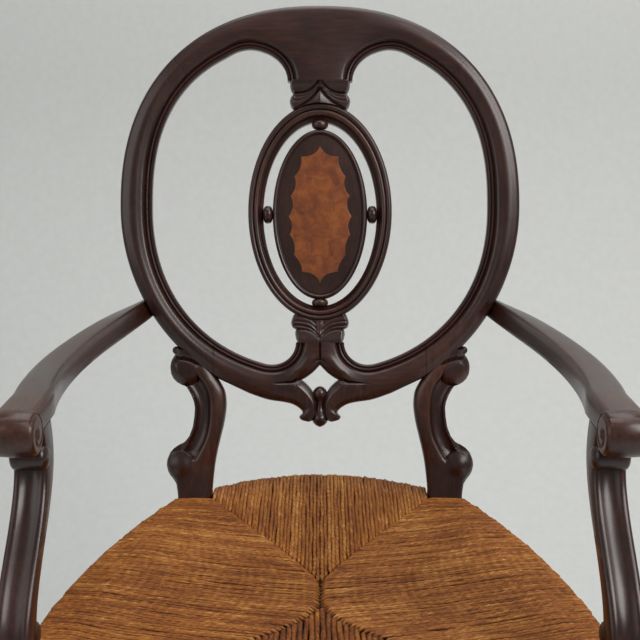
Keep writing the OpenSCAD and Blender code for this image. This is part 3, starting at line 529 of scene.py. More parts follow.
# %% [markdown]
# ## The path of a strand
# A strand comes up at a seam, runs out to the rail, turns over its edge and runs back under the
# seat. Its start and its end dive into the packing, so that the seams look drawn in. A rope could be
# simulated, but rush is wound tight over the rails, so a formula for straight runs is true to it.

# %% Path of a strand
STATIONS_TOP, STATIONS_TURN, STATIONS_UNDER = 26, 7, 12
SEAT_LOW = 405.4
TURN_R, TURN_POWER = 7.5, 0.7
SEAM_LAP, SEAM_DIVE, SEAM_SLOPE = 3.0, 6.0, 8.0


def strand_path(seam, edge, half_h, bend, lift, rise):
    """Centre points in seat millimetres, from the seam over the edge and back below."""
    along = (edge - seam).normalized()
    start = seam - along * SEAM_LAP
    flat_end = edge - along * (TURN_R + half_h)
    points = []
    for i in range(STATIONS_TOP):
        u = i / (STATIONS_TOP - 1)
        p = start + (flat_end - start) * u + bend * (4 * u * (1 - u))
        sink = SEAM_DIVE * max(0.0, 1 - (p - start).length / SEAM_SLOPE) ** 2
        z = SEAT_H - half_h - dip_at(p.x, p.y) - sink + lift + rise * u
        points.append(Vector((p.x, p.y, z)))
    top, low = points[-1].z, SEAT_LOW + half_h
    for i in range(1, STATIONS_TURN + 1):
        angle = math.pi * i / (STATIONS_TURN + 1)
        p = flat_end + along * (TURN_R * math.sin(angle) ** TURN_POWER)
        swing = math.copysign(abs(math.cos(angle)) ** TURN_POWER, math.cos(angle))
        points.append(Vector((p.x, p.y, (top + low) / 2 + (top - low) / 2 * swing)))
    for i in range(STATIONS_UNDER):
        u = (i / (STATIONS_UNDER - 1)) ** 0.7
        p = flat_end + (start - flat_end) * u
        points.append(Vector((p.x, p.y, low + 0.8 * SEAM_DIVE * max(0.0, (u - 0.94) / 0.06))))
    return points


example = strand_path(Vector((0, seam_front(0))), Vector((0, front_edge(0))), 2.6, Vector((0, 0)), 0.0, 0.0)
print("stations on one strand:", len(example))

# %% [markdown]
# ## The strand round its path
# Rush is twisted by hand, so every strand wanders by about a millimetre and gets thicker and
# thinner on its way. Seven points round the path are enough, because there are 332 strands. The
# twist turns the points on the way, which draws the fibres in a slant across the strand.

# %% Rings of a strand
SIDES = 7
TWIST_LENGTH = 9.0
WANDER, WANDER_RUN = 1.3, 34.0
HEAVE, HEAVE_RUN = 0.9, 26.0
SWELL, SWELL_RUN = 0.22, 19.0


def strand_rings(path, half_w, half_h, seed):
    """The rings of one strand, with the distance and the twist at each of them."""
    rings, runs, twists = [], [], []
    travelled = twist = 0.0
    thick = 1 + random.uniform(-0.12, 0.1)
    for i, point in enumerate(path):
        ahead = path[min(i + 1, len(path) - 1)] - path[max(i - 1, 0)]
        ahead.normalize()
        level = Vector((-ahead.y, ahead.x, 0.0))
        if level.length < 0.2:
            level = level_before
        level.normalize()
        if i and level.dot(level_before) < 0:
            level = -level
        level_before = level
        out = level.cross(ahead)
        step = (point - path[i - 1]).length if i else 0.0
        travelled += step
        twist += step / TWIST_LENGTH if i < STATIONS_TOP + STATIONS_TURN else 0.0
        wander = noise.noise(Vector((travelled / WANDER_RUN, seed * 7.3, 0.0))) * WANDER
        heave = noise.noise(Vector((travelled / HEAVE_RUN, seed * 3.1, 9.0))) * HEAVE
        swell = thick * (1 + SWELL * noise.noise(Vector((travelled / SWELL_RUN, seed * 5.7, 4.0))))
        middle = point + level * wander + out * heave
        ring = []
        for j in range(SIDES):
            angle = 2 * math.pi * j / SIDES + twist
            across = level * (half_w * swell * math.cos(angle))
            deep = out * (half_h * swell * math.sin(angle))
            ring.append(seat_point(*(middle + across + deep)))
        rings.append(ring)
        runs.append(travelled)
        twists.append(twist)
    return rings, runs, twists


def rush_gore(name, strands, half_w, seed, half_h=2.6, rise=0.0, paler=0.0, nodes=()):
    """Sweeps all strands of one gore at once. A strand is its seam point, its edge point and a bend."""
    built = []
    for number, (seam, edge, bend) in enumerate(strands):
        path = strand_path(seam, edge, half_h, bend, random.uniform(-0.5, 0.2), rise)
        built.append(strand_rings(path, half_w, half_h, seed + number))
    stations = range(len(built[0][0]))
    sections = [[spot for rings, _, _ in built for spot in rings[i]] for i in stations]
    own = [random.random() + paler for _ in built]
    turns = [2 * math.pi * j / SIDES for j in range(SIDES)]
    # The crown values place the painted shade on the inward sides of the strands.
    marks = {
        "strand": [[tone for tone in own for _ in turns] for _ in stations],
        "run": [[runs[i] for _, runs, _ in built for _ in turns] for i in stations],
        "side": [[float(j) for _ in built for j in range(SIDES)] for _ in stations],
        "crown": [[-math.sin(turn + twists[i]) for _, _, twists in built for turn in turns] for i in stations],
    }
    show(sweep(sections, SIDES, marks=marks), name, RUSH, nodes, 180.0)


# %% [markdown]
# ## The four gores of the seat
# The front and rear strands run fore and aft, and the side strands run across and bow a little
# towards the front or the rear. The front gore gets the darkest tone, which is painted shade over
# the front of the seat, and the rear one lies a little higher at its edge. One piece per gore keeps
# the file light.

# %% The four gores
SIDE_STRANDS, REAR_PART, SEAM_PART = 92, 42, 8
SIDE_BEND = 0.12
random.seed(7)


def straight_strands(reach, count, seam, edge):
    """Strands side by side from -reach to reach, each from its seam to its edge."""
    xs = [-reach + 2 * reach * i / (count - 1) for i in range(count)]
    return [(Vector((x, seam(x))), Vector((x, edge(x))), Vector((0, 0))) for x in xs]


def side_strands(side):
    strands = []
    for i in range(SIDE_STRANDS):
        if i < REAR_PART:
            y = REAR_FORK * (i + 0.5) / REAR_PART
            x = seam_rear_x(y)
        elif i < REAR_PART + SEAM_PART:
            y = REAR_FORK + (FRONT_FORK - REAR_FORK) * (i - REAR_PART + 0.5) / SEAM_PART
            x = 0.0
        else:
            y = FRONT_FORK - 167.5 * (i - REAR_PART - SEAM_PART + 0.5) / 42
            x = seam_front_x(y)
        edge_y = -4.0 - 355.0 * i / (SIDE_STRANDS - 1)
        seam, edge = Vector((side * x, y)), Vector((side * side_edge(edge_y), edge_y))
        strands.append((seam, edge, Vector((0.0, SIDE_BEND * (edge_y - y)))))
    return strands


# The front gore's lowered tone (paler=-0.9) is painted shade over the front of the seat.
rush_gore("rush_front", straight_strands(215.0, 86, seam_front, front_edge), 2.95, 10,
          paler=-0.9, nodes=["rush_seat"])
rush_gore("rush_rear", straight_strands(120.0, 62, seam_rear, rear_edge), 2.6, 9,
          half_h=2.3, rise=1.8, paler=0.15)
rush_gore("rush_left", side_strands(-1), 2.3, 9)
rush_gore("rush_right", side_strands(1), 2.3, 10)

# %% [markdown]
# ## The packing under the strands
# Cut rush is pushed between the top and the bottom strands as the seat is made. It shows in the
# gaps along the seams, and its dark colour is painted shade for those gaps. Single straws would never
# be seen, so one plain dark body, swept from the bottom up over the rim and down into the dip, fills
# the inside of the seat.

# %% Packing inside the seat
PACKING_INSET = 6.0
PACKING_LOW, PACKING_TOP = SEAT_LOW + 4.5, SEAT_H - 5


def seat_ring(inset, share, z):
    """The outline of the seat, moved inwards and then shrunk to a share of its size."""
    ring = []
    for spot in OUTLINE:
        arm = spot - SEAT_MID
        p = SEAT_MID + arm * (share * (arm.length - inset) / arm.length)
        ring.append(seat_point(p.x, p.y, z))
    return ring


levels = [seat_ring(PACKING_INSET + 40, 0.25, PACKING_LOW - 0.5), seat_ring(PACKING_INSET, 1, PACKING_LOW)]
levels += [seat_ring(PACKING_INSET, 1, PACKING_TOP)]
for share in (1, 0.8, 0.6, 0.4, 0.2):
    levels.append(seat_ring(FLAT_BAND, share, PACKING_TOP - DIP * (1 - share ** 2)))
show(sweep(levels, len(OUTLINE)), "seat_packing", PACKING_PAINTED_SHADE, ["seat_stuffing"])

# %% [markdown]
# ## Helpers for carved work
# Carved pieces of the back are built in back millimetres (x, s, t) and placed at the end. Outlines
# are drawn with few points and rounded by a curve through them, as a carver draws round a template
# that was cut from a few marks. What comes in pairs is made once, for the right, and mirrored.

# %% Helpers for carved work
def to_back(form):
    for vert in form.verts:
        vert.co = back_point(*vert.co)


def to_seat(form):
    for vert in form.verts:
        vert.co = seat_point(*vert.co)


def curve_through(points, count, between=12):
    """Spreads points evenly along a smooth curve (Catmull-Rom) through the given ones."""
    points = [Vector(p) for p in points]
    padded = [2 * points[0] - points[1], *points, 2 * points[-1] - points[-2]]
    dense = []
    for i in range(1, len(padded) - 2):
        a, b, c, d = padded[i - 1:i + 3]
        for k in range(between):
            u = k / between
            dense.append(0.5 * (2 * b + (c - a) * u + (2 * a - 5 * b + 4 * c - d) * u * u
                                + (3 * b - a - 3 * c + d) * u ** 3))
    dense.append(points[-1])
    return even_steps(dense, count)


def even_steps(line, count):
    lengths = [0.0]
    for p, q in zip(line, line[1:]):
        lengths.append(lengths[-1] + (q - p).length)
    steps, i = [], 0
    for k in range(count):
        goal = lengths[-1] * k / (count - 1)
        while i < len(line) - 2 and lengths[i + 1] < goal:
            i += 1
        span = lengths[i + 1] - lengths[i]
        steps.append(line[i].lerp(line[i + 1], (goal - lengths[i]) / span if span else 0.0))
    return steps


def level_between(pairs, x):
    """Reads a value from a short table of (x, value) pairs, with straight lines between them."""
    if x <= pairs[0][0]:
        return pairs[0][1]
    for (x0, v0), (x1, v1) in zip(pairs, pairs[1:]):
        if x <= x1:
            return v0 + (v1 - v0) * (x - x0) / (x1 - x0)
    return pairs[-1][1]


def ease(u):
    u = min(1.0, max(0.0, u))
    return u * u * (3 - 2 * u)


def smooth_table(pairs):
    """Turns a short table of (x, value) pairs into a dense one with a rounded course."""
    return [(p.x, p.y) for p in curve_through(pairs, 240)]


def in_pairs(form, name, material, nodes=(), place=to_back, crease=38.0):
    """Shows a right-hand form and its left-hand mirror image. The side takes the place of {}."""
    other = form.copy()
    for vert in other.verts:
        vert.co.x = -vert.co.x
    bmesh.ops.reverse_faces(other, faces=other.faces)
    for shape, side in ((form, "right"), (other, "left")):
        place(shape)
        show(shape, name.format(side), material, [node.format(side) for node in nodes], crease)


print("halfway along a smooth line:", [round(v, 2) for v in curve_through([(0, 0), (2, 1), (4, 0)], 3)[1]])

# %% [markdown]
# ## The line of the oval's opening
# The crest rail, the two stiles and the lower rail are carved as one oval frame. One half of it is
# modelled, and each section starts at the opening, which runs from the stem under the crest down
# to the stub on the lower rail. The oval is a superellipse, a little squarer above than below.

# %% The opening
OVAL_A, OVAL_B = OVAL_W / 2, OVAL_H / 2
SIDE_BAND, TOP_BAND, LOW_BAND = 36.0, 39.5, 41.0
STEM_END, STUB_END, DIAMOND_TOP = 473.5, 175.5, 149.5


def oval_spot(half_w, half_h, top_n, low_n, angle):
    c, s = math.cos(angle), math.sin(angle)
    n = top_n if s >= 0 else low_n
    r = ((abs(c) / half_w) ** n + (abs(s) / half_h) ** n) ** (-1 / n)
    return Vector((r * c, OVAL_MID + r * s))


def outer_spot(angle):
    return oval_spot(OVAL_A, OVAL_B, 2.28, 2.0, angle)


def inner_spot(angle):
    band = TOP_BAND if math.sin(angle) > 0 else LOW_BAND
    return oval_spot(OVAL_A - SIDE_BAND, OVAL_B - band, 2.5, 2.2, angle)


def opening_line():
    """From the stem's end round the opening to the stub's end, 2 to 4 mm from point to point."""
    rising = [math.radians(5 * i) for i in range(19)]
    falling = [math.radians(90 - 6 * i) for i in range(16)]
    stem = [Vector((82 - 45 * math.cos(a), STEM_END + 37 * math.sin(a))) for a in rising]
    stub = [Vector((54.5 - 27 * math.cos(a), STUB_END - 25.5 * math.sin(a))) for a in falling]
    oval = [inner_spot(math.radians(90 - 0.5 * i)) for i in range(361)]
    oval = [p for p in oval if (p.x > 110 if p.y > OVAL_MID else p.y > 150 and p.x > 57)]
    top = curve_through([*stem[12:16:3], (82, 510.4), (95, 507.4), *oval[:16:5]], 60)
    return stem[:12] + even_steps([*top, *oval[16:], stub[0]], 156) + stub[1:]


print("points along the opening:", len(opening_line()))

# %% [markdown]
# ## The outer end of each section
# A section runs from the opening to the outer edge of the wood. Round the oval that edge is the
# outer oval. Below, the lower rail forks: its edge follows the foot, the corner over the foot and
# one side of the pierced diamond. At the stem and the stub a section ends on the middle line, where
# the other half joins on. The key table spreads the ends along the fork.

# %% The outer ends
FORK_FOOT, FORK_CORNER = Vector((30, 104.4)), Vector((20, 133))
FORK_STEPS = 400


def into_wood(line):
    """The directions to the left of the line, level at its two ends."""
    turned = []
    for i in range(len(line)):
        ahead = line[min(i + 1, len(line) - 1)] - line[max(i - 1, 0)]
        turned.append(Vector((-ahead.y, ahead.x)).normalized())
    turned[0] = turned[-1] = Vector((-1, 0))
    return turned


def angle_of(p):
    return math.atan2(p.y - OVAL_MID, p.x)


def fork_line(start):
    """From a point on the outer oval along the foot, the corner and the side of the diamond."""
    line = curve_through([(80, 117.2), (62, 111.1), (46, 108.4), (36, 106.2), FORK_FOOT], 40)
    line += curve_through([(29, 107), (24.5, 113), (21.2, 123), FORK_CORNER], 14)
    line += curve_through([(17.5, 134.2), (8.6, 140.6), (0, DIAMOND_TOP)], 18)
    return even_steps([start, *line], FORK_STEPS)


def share_near(line, goal, near):
    """How far along a line its first point within `near` of the goal lies, as a share."""
    return next(i for i, p in enumerate(line) if (p - goal).length < near) / FORK_STEPS


def outer_line(inner):
    """The far end of each section, the direction out of the wood there, and how far it is a middle."""
    low = [i for i, p in enumerate(inner) if p.y < OVAL_MID]
    top = next(i for i, p in enumerate(inner) if p.x > 50)
    open_top = next(i for i, p in enumerate(inner) if p.x > 112)
    open_low = next(i for i in low if inner[i].x < 100)
    fillet = next(i for i in low if inner[i].x < 56)
    diamond = next(i for i in low if inner[i].x < 30.5)
    fork = fork_line(outer_spot(angle_of(inner[open_low])))
    key = [(open_low, 0.0), (fillet, share_near(fork, FORK_FOOT, 0.9)),
           (fillet + 5, share_near(fork, FORK_CORNER, 0.7)), (diamond, 1.0)]
    flat = Vector((0.0, 0.0))
    ends = []
    for i, p in enumerate(inner):
        if i < top:
            rise = i / top
            ends.append((Vector((0.0, STEM_END + (OVAL_TOP - STEM_END) * rise)), flat, 1 - ease(rise)))
        elif i < open_top:
            share = ease((i - top) / (open_top - top))
            angle = math.pi / 2 + (angle_of(inner[open_top]) - math.pi / 2) * share
            ends.append((outer_spot(angle), None, 0.0))
        elif i < open_low:
            ends.append((outer_spot(angle_of(p)), None, 0.0))
        elif i <= diamond:
            step = int(round(level_between(key, i) * (FORK_STEPS - 1)))
            ends.append((fork[min(FORK_STEPS - 1, step)], None, 0.0))
        else:
            rise = (i - diamond) / (len(inner) - 1 - diamond)
            ends.append((Vector((0.0, DIAMOND_TOP + (STUB_END - DIAMOND_TOP) * rise)), flat, 1.0))
    spots = [end[0] for end in ends]
    for i, (spot, out, centre) in enumerate(ends):
        if out is None:
            ahead = spots[i + 1] - spots[i - 1]
            out = Vector((-ahead.y, ahead.x)).normalized()
        if i == top:
            out = Vector((0.0, 1.0))
        if i == diamond:
            out = Vector((0.0, -1.25))
        ends[i] = (spot, out, centre)
    return ends


print("sections of one half:", len(outer_line(opening_line())))

# %% [markdown]
# ## The carved section
# Each section starts with the rounded bead at the opening, then a fine dark quirk, the slightly
# crowned face, and the softened outer edge. On the lower rail a groove parts the face, and under
# the groove the wood sinks back to meet the feet. A boolean could cut the groove, but it would
# leave ragged edges, so the points of the section go down to it themselves.

# %% The carved half frame
BEAD = [(0, -4.5), (0.5, -3.1), (1.6, -2.1), (2.8, -2.1), (3.4, -3.2), (4.0, -2.2), (4.8, -1.0),
        (5.8, -0.7), (6.8, -1.3), (7.5, -2.6), (8.3, -1.5), (9.3, 0.5), (10.6, 2.0), (12, 2.7), (14, 3)]
EDGE_ROUND = [(4.6, 2.4), (2.8, 1.5), (1.4, 0.2), (0.4, -1.6), (0, -3.5)]
EDGE_WIDTH = 7
CROWN = 1.7
GROOVE_LINE = [(20, 133.2), (36, 132.2), (53, 129.4), (60, 128.0)]
GROOVE_DEPTH, GROOVE_WIDTH = 5.0, 9.0
WORN_LOW = [(120, 0.6), (170, 0.35), (230, 0.12), (600, 0.12)]
BEFORE_SPLIT, AFTER_SPLIT = (0.3, 0.6, 0.85, 1.0), (0.04, 0.2, 0.4, 0.6, 0.8, 1)


def crown_at(p, a, lower, share, centre):
    """How far a spot of the face bulges, from 0 at the edges to 1 in the middle of the band."""
    if lower:
        v = share * (1 - 0.5 * centre)
        return 4 * v * (1 - v)
    near = a * (a + 2 * p.x) / (2 * a + 2 * p.x + 0.01)
    far = max(0.0, (outer_spot(angle_of(p)) - p).length - EDGE_WIDTH)
    return 4 * near * far / (near + far + 0.01) ** 2


def sink_at(p):
    """How far the wood under the groove lies back, growing from the groove and towards the feet."""
    below = level_between(GROOVE_LINE, p.x) - p.y
    return 7.0 * ease((52 - p.x) / 5) * ease(below / 1.6)


def groove_share(first, last):
    """Where the groove crosses a face from first to last, as a share of it, or 0.5 without one."""
    spots = [(i / 200, first.lerp(last, i / 200)) for i in range(201)]
    above = [share for share, p in spots if p.y > level_between(GROOVE_LINE, p.x)]
    if not above or above[-1] <= 0.1:
        return 0.5
    return 0.5 + (min(0.96, above[-1]) - 0.5) * ease((85 - last.x) / 20)


def frame_section(spot, into, end, out, centre):
    wood = [spot + into * d for d, _ in BEAD]
    section = [(*p, t) for p, (_, t) in zip(wood, BEAD)]
    first, last = wood[-1], end - out * EDGE_WIDTH
    lower = spot.y < OVAL_MID
    grooved = lower and 19.9 < end.x < 90 and end.y < 133.6
    middle = groove_share(first, last) if grooved else 0.5
    split = first.lerp(last, middle)
    depth = GROOVE_DEPTH * min(1.0, max(0.0, (55 - split.x) / 26)) ** 0.8 if grooved else 0.0
    sink = sink_at if grooved else lambda p: 0.0
    end = end - out * (0.25 * sink(end))
    steps = [middle * f for f in BEFORE_SPLIT] + [middle + (1 - middle) * f for f in AFTER_SPLIT]
    for number, u in enumerate(steps):
        p = first.lerp(last, u)
        t = FACE_T + CROWN * crown_at(p, u * (last - first).length, lower, u, centre)
        if number >= len(BEFORE_SPLIT) and p.y < level_between(GROOVE_LINE, p.x) + 0.5:
            t -= depth * max(0.0, 1 - (p - split).length / GROOVE_WIDTH) ** 1.2
        t -= sink(p)
        if number == len(steps) - 1 and lower and p.x < 0.01:
            t -= 2.6
        section.append((*p, t))
    section += [(*(end - out * d), t - sink(end - out * d)) for d, t in EDGE_ROUND]
    section += [(*end, 1 - FRAME_T), (*(end - out), -FRAME_T), (*(spot + into * 5), -FRAME_T), (*spot, -11.0)]
    return [Vector(p) for p in section]


def half_frame():
    inner = opening_line()
    sections, rubbed = [], []
    for spot, into, (end, out, centre) in zip(inner, into_wood(inner), outer_line(inner)):
        section = frame_section(spot, into, end, out, centre)
        glow = level_between(WORN_LOW, spot.y)
        face = range(len(BEAD) - 2, len(BEAD) + len(BEFORE_SPLIT + AFTER_SPLIT))
        sections.append(section)
        rubbed.append([glow if number in face else 0.0 for number in range(len(section))])
    form = sweep(sections, len(sections[0]), marks={"wear_and_glow": rubbed})
    wall = [face for face in form.faces if all(abs(vert.co.x) < 0.001 for vert in face.verts)]
    bmesh.ops.delete(form, geom=wall, context="FACES")
    return form


half = half_frame()
print("faces in one half of the frame:", len(half.faces))

# %% [markdown]
# ## Cutting the frame at its joints
# On the real chair the crest rail, the stiles and the lower rail are four pieces, glued at straight
# joints. So the carved half is copied three times, cut with a plane at its joints, and the crest
# and the rail are joined to their mirror image. The grain then turns at the joints, as it should.

# %% Crest, stiles and lower rail
CREST_JOINT, CREST_WAY = Vector((155.66, 485.54, 0.0)), Vector((-0.7554, 0.6552, 0.0))
RAIL_JOINT_X = 121.0
CREST_GAP, RAIL_GAP = 0.15, 0.2


def cut(form, point, direction):
    """Cuts a form with a plane, removes what lies beyond it and closes the cut."""
    parts = list(form.verts) + list(form.edges) + list(form.faces)
    made = bmesh.ops.bisect_plane(form, geom=parts, dist=1e-5, plane_co=Vector(point),
                                  plane_no=Vector(direction), clear_outer=True, clear_inner=False)
    rim = [part for part in made["geom_cut"] if isinstance(part, bmesh.types.BMEdge)]
    bmesh.ops.edgeloop_fill(form, edges=rim)


def join_halves(form):
    parts = list(form.verts) + list(form.edges) + list(form.faces)
    bmesh.ops.mirror(form, geom=parts, axis="X", merge_dist=0.01)
    bmesh.ops.remove_doubles(form, verts=[v for v in form.verts if abs(v.co.x) < 0.01], dist=0.01)
    bmesh.ops.recalc_face_normals(form, faces=form.faces)
    to_back(form)


crest = half.copy()
cut(crest, CREST_JOINT + CREST_WAY * CREST_GAP, -CREST_WAY)
join_halves(crest)
show(crest, "crest", MAHOGANY_ACROSS, ["crest_rail"])

stile = half.copy()
cut(stile, CREST_JOINT - CREST_WAY * CREST_GAP, CREST_WAY)
cut(stile, (RAIL_JOINT_X + RAIL_GAP, 0, 0), (-1, 0, 0))
bmesh.ops.recalc_face_normals(stile, faces=stile.faces)
in_pairs(stile, "stile_{}_carved", MAHOGANY_UP, ["stile_{}"])

rail = half.copy()
cut(rail, (RAIL_JOINT_X - RAIL_GAP, 0, 0), (1, 0, 0))
bmesh.ops.delete(rail, geom=[v for v in rail.verts if v.co.y > OVAL_MID], context="VERTS")
join_halves(rail)
show(rail, "lower_rail_carved", MAHOGANY_ACROSS, ["lower_rail"])
half.free()

# %% [markdown]
# ## The scrolled feet under the lower rail
# Below the pierced diamond two branches come out of the rail, curl down and end in small flared
# feet. Each is a band with a broad bevel on its inner side. A bevel tool would keep one width, but
# this one widens as the foot curls, so each section is laid between an inner and an outer line.

# %% Feet
FOOT_IN = [(60, 127.8), (56, 128.5), (52, 129.3), (46, 130.4), (40, 131.4), (34, 132.1), (28, 132.8),
           (23, 133.0), (19.4, 131.4), (14.6, 127.2), (10.8, 122.9), (8.0, 119), (5.9, 115), (4.6, 111),
           (3.8, 106), (3.8, 100), (4.6, 94), (6.4, 89.5), (9.4, 86.3)]
FOOT_OUT = [(66, 112.2), (58, 110.0), (51, 108.8), (44, 107.9), (38.4, 106.9), (34, 105.9), (30, 104.4),
            (27, 102.8), (24.2, 100.9), (21.8, 98.8), (20.3, 96.9), (20.0, 94.9), (21.4, 92.9),
            (23.6, 90.6), (21.3, 87.1), (15, 85.4)]
BEVEL_WIDTH = [(88, 2.2), (95, 3.2), (106, 4.8), (115, 6.2), (124, 8.0), (133, 8.4)]


FOOT_STEPS = 80
START_SINK = (1.5, 0.25)
BEVEL_STEPS, FACE_STEPS = (0, 0.15, 0.35, 0.55, 0.75, 0.92), (0, 0.25, 0.5, 0.75, 1)


def foot():
    inside, outside = curve_through(FOOT_IN, FOOT_STEPS), curve_through(FOOT_OUT, FOOT_STEPS)
    corner = max(range(FOOT_STEPS), key=lambda k: inside[k].y)
    sections = []
    for k, (p, q) in enumerate(zip(inside, outside)):
        length = (q - p).length
        grown = max(0.0, (54 - p.x) / 34)
        width = max(0.4, 8.4 * grown ** 0.72) if k < corner else level_between(BEVEL_WIDTH, p.y)
        width = min(width, 0.55 * length)
        depth = 5.5 * grown ** 0.55 if k < corner else 4.0 + 1.5 * ease((p.y - 90) / 30)
        rim = min(1.0, length / 18)
        face = length - EDGE_WIDTH * rim
        row = [(0.0, -19.5)]
        row += [(width * f, FACE_T + CROWN - depth * (1 - f) ** 1.25) for f in BEVEL_STEPS]
        for f in FACE_STEPS:
            d = width + (face - width) * f
            v = 0.45 + 0.55 * d / face
            row.append((d, FACE_T + 0.1 + CROWN * 4 * v * (1 - v)))
        row += [(length - d * rim, 0.1 + t) for d, t in EDGE_ROUND] + [(length, -19.5), (length / 2, -20.6)]
        down = START_SINK[k] if k < len(START_SINK) else 0.0
        along = (q - p).normalized()
        sections.append([Vector((*(p + along * d), t - (down if t > -15 else 0))) for d, t in row])
    rubbed = [0.0] * 7 + [0.6] * 6 + [0.3] * 3 + [0.0] * 3
    return sweep(sections, len(rubbed), marks={"wear_and_glow": [rubbed] * len(sections)})


in_pairs(foot(), "scroll_foot_{}", MAHOGANY_RED)

# %% [markdown]
# ## The drop between the feet
# A small turned drop hangs between the two feet. A profile could be spun round its axis, but this
# one is a little deeper than it is wide, so it is swept along the axis in oval rings.

# %% Drop
DROP = [(78.9, 0.4), (79.8, 2.6), (81.4, 5.2), (83.8, 7.6), (87, 9.0), (90.5, 8.9), (94, 7.3), (97.5, 5.5),
        (101, 4.6), (105.5, 4.3), (109, 4.9), (111.5, 6.3), (114.5, 7.8), (117.6, 8.2), (120.9, 7.3),
        (123.6, 5.0), (125.2, 2.4), (125.7, 0.4)]


DROP_AROUND, DROP_MID_T = 28, -4.2


def drop():
    turns = [2 * math.pi * j / DROP_AROUND for j in range(DROP_AROUND)]
    sections = []
    for spot in curve_through([(r, s) for s, r in DROP], 60):
        r, s = max(0.2, spot.x), spot.y
        deep = r + 1.2 * min(1, r / 4)
        sections.append([Vector((r * math.cos(a), s, DROP_MID_T + deep * math.sin(a))) for a in turns])
    return sweep(sections, DROP_AROUND)


hanging = drop()
to_back(hanging)
show(hanging, "pendant_drop_turned", MAHOGANY_RED, ["pendant_drop"])

# %% [markdown]
# ## The ring round the medallion
# The ring is a moulded band: a dark bead outside, a rubbed reddish band, and a dark hollow inside.
# A circle that is scaled to an oval would make the band wider at the top than at the sides, so the
# outer and the inner oval are drawn by themselves, and the moulding is laid between them.

# %% Ring
RING_BAND = [(0, -17.5), (0, -4.5), (0.4, -2.8), (1.4, -1.3), (2.8, -0.5), (4.2, -0.6), (5.4, -1.4),
             (6.2, -2.6), (6.5, -3.2), (7.0, -1.7), (7.9, -0.9), (9.2, -0.7), (10.6, -1.2), (11.6, -2.2),
             (12.1, -3.0), (12.4, -4.4), (13.4, -5.9), (14.8, -7.2), (16.2, -8.2), (17, -8.8), (17, -17.5),
             (16, -18), (1, -18)]


RING_OUT, RING_IN, RING_WIDTH = (82, 124.5, 324.5), (65, 105.5, 322.5), 17
RING_STEPS = 144


def ring_spot(half_w, half_h, mid, angle):
    return Vector((half_w * math.cos(angle), mid + half_h * math.sin(angle)))


def carved_ring():
    sections = []
    for k in range(RING_STEPS):
        angle = 2 * math.pi * k / RING_STEPS
        outside, inside = ring_spot(*RING_OUT, angle), ring_spot(*RING_IN, angle)
        sections.append([Vector((*outside.lerp(inside, d / RING_WIDTH), t)) for d, t in RING_BAND])
    rubbed = [0.55 if 6.8 < d < 12 and t > -4 else 0.0 for d, t in RING_BAND]
    form = sweep(sections, len(RING_BAND), closed=True, marks={"wear_and_glow": [rubbed] * RING_STEPS})
    to_back(form)
    return form


show(carved_ring(), "ring_moulded", MAHOGANY_UP, ["splat_ring"])

# %% [markdown]
# ## The leaf collars
# Two carved collars join the ring to the frame. Each is a cushion with leaf lobes, cut by grooves
# that fan out from the middle line. They could be sculpted by hand, but here each groove is a line
# of points with a depth and a width, and the depth at a spot comes from its distance to the line.

# %% Lines of the collars
UPPER_EDGE = [(437, 26), (440.3, 29.4), (442.6, 31.2), (446.8, 33.6), (451, 34.6), (454.7, 33.7),
              (458, 31.6), (459.8, 30.0), (461.2, 31.2), (463.8, 32.9), (468.3, 34.2), (474.2, 34.3)]
LOWER_EDGE = [(175.2, 25.6), (179.6, 27.4), (184.7, 28.3), (188.2, 28.0), (189.9, 27.2), (191.2, 29.8),
              (192.9, 31.6), (196.9, 32.9), (200.5, 32.5), (206.2, 30.4), (211, 27)]
UPPER_CUTS = [(2.6, 1.15, [(1.7, 473.3), (6.2, 467), (11, 463.2), (17.5, 460.5), (23.2, 459.5), (31, 459.8)]),
              (1.0, 0.8, [(4.2, 464.7), (9, 461.5), (13.8, 458.4), (20, 456), (28, 455)]),
              (1.0, 0.8, [(9.3, 458.4), (14.7, 454.4), (21.8, 451.3), (29, 450.2)]),
              (2.6, 1.1, [(1.3, 464), (6.5, 457.3), (13.3, 450.8), (20.3, 446.2), (28.2, 441.7), (31, 440)])]
LOWER_CUTS = [(0.6, 1.0, [(4.6, 196), (9.7, 200.5), (17.1, 203.4), (28, 204.6)]),
              (0.8, 0.9, [(4.2, 190), (7.5, 194.2), (13.1, 197.7), (22.7, 199.4), (29.5, 199.6)]),
              (1.3, 1.1, [(2.6, 184.2), (6.6, 188.6), (12.5, 192.4), (20, 194.4), (29, 195)]),
              (1.4, 1.2, [(1.6, 181.4), (5.2, 184.4), (10.9, 188.2), (17, 190), (28.4, 190.4)]),
              (1.2, 0.9, [(0, 181), (0, 174)])]
UPPER_TONGUE = [(441, 20), (449, 12.5), (457, 5.5), (464, 1.9), (469, 3.0), (474, 0.6)]
LOWER_TONGUE = [(183, 1.2), (185, 2.4), (197, 3.8), (201, 4.2)]
print("grooves on the collars:", len(UPPER_CUTS + LOWER_CUTS))

# %% [markdown]
# ## Carving the collars
# A collar is swept from row to row of points. Each point's height is the cushion's, with the middle
# leaf raised as a tongue, less the grooves near it. The points stand closer together at the sides,
# where the cushion turns down.

# %% Collars
def distance_to(line, spot):
    best = math.inf
    for p, q in zip(line, line[1:]):
        p, run = Vector(p), Vector(q) - Vector(p)
        u = min(1.0, max(0.0, (spot - p).dot(run) / run.length_squared))
        best = min(best, (spot - p - run * u).length)
    return best


def cuts_at(cuts, spot):
    return -sum(depth * math.exp(-(distance_to(line, spot) / width) ** 2) for depth, width, line in cuts)


def above_line(line, spot):
    """True where the spot lies above a groove's line, which runs outwards from the middle."""
    return spot.y > level_between(line, spot.x)


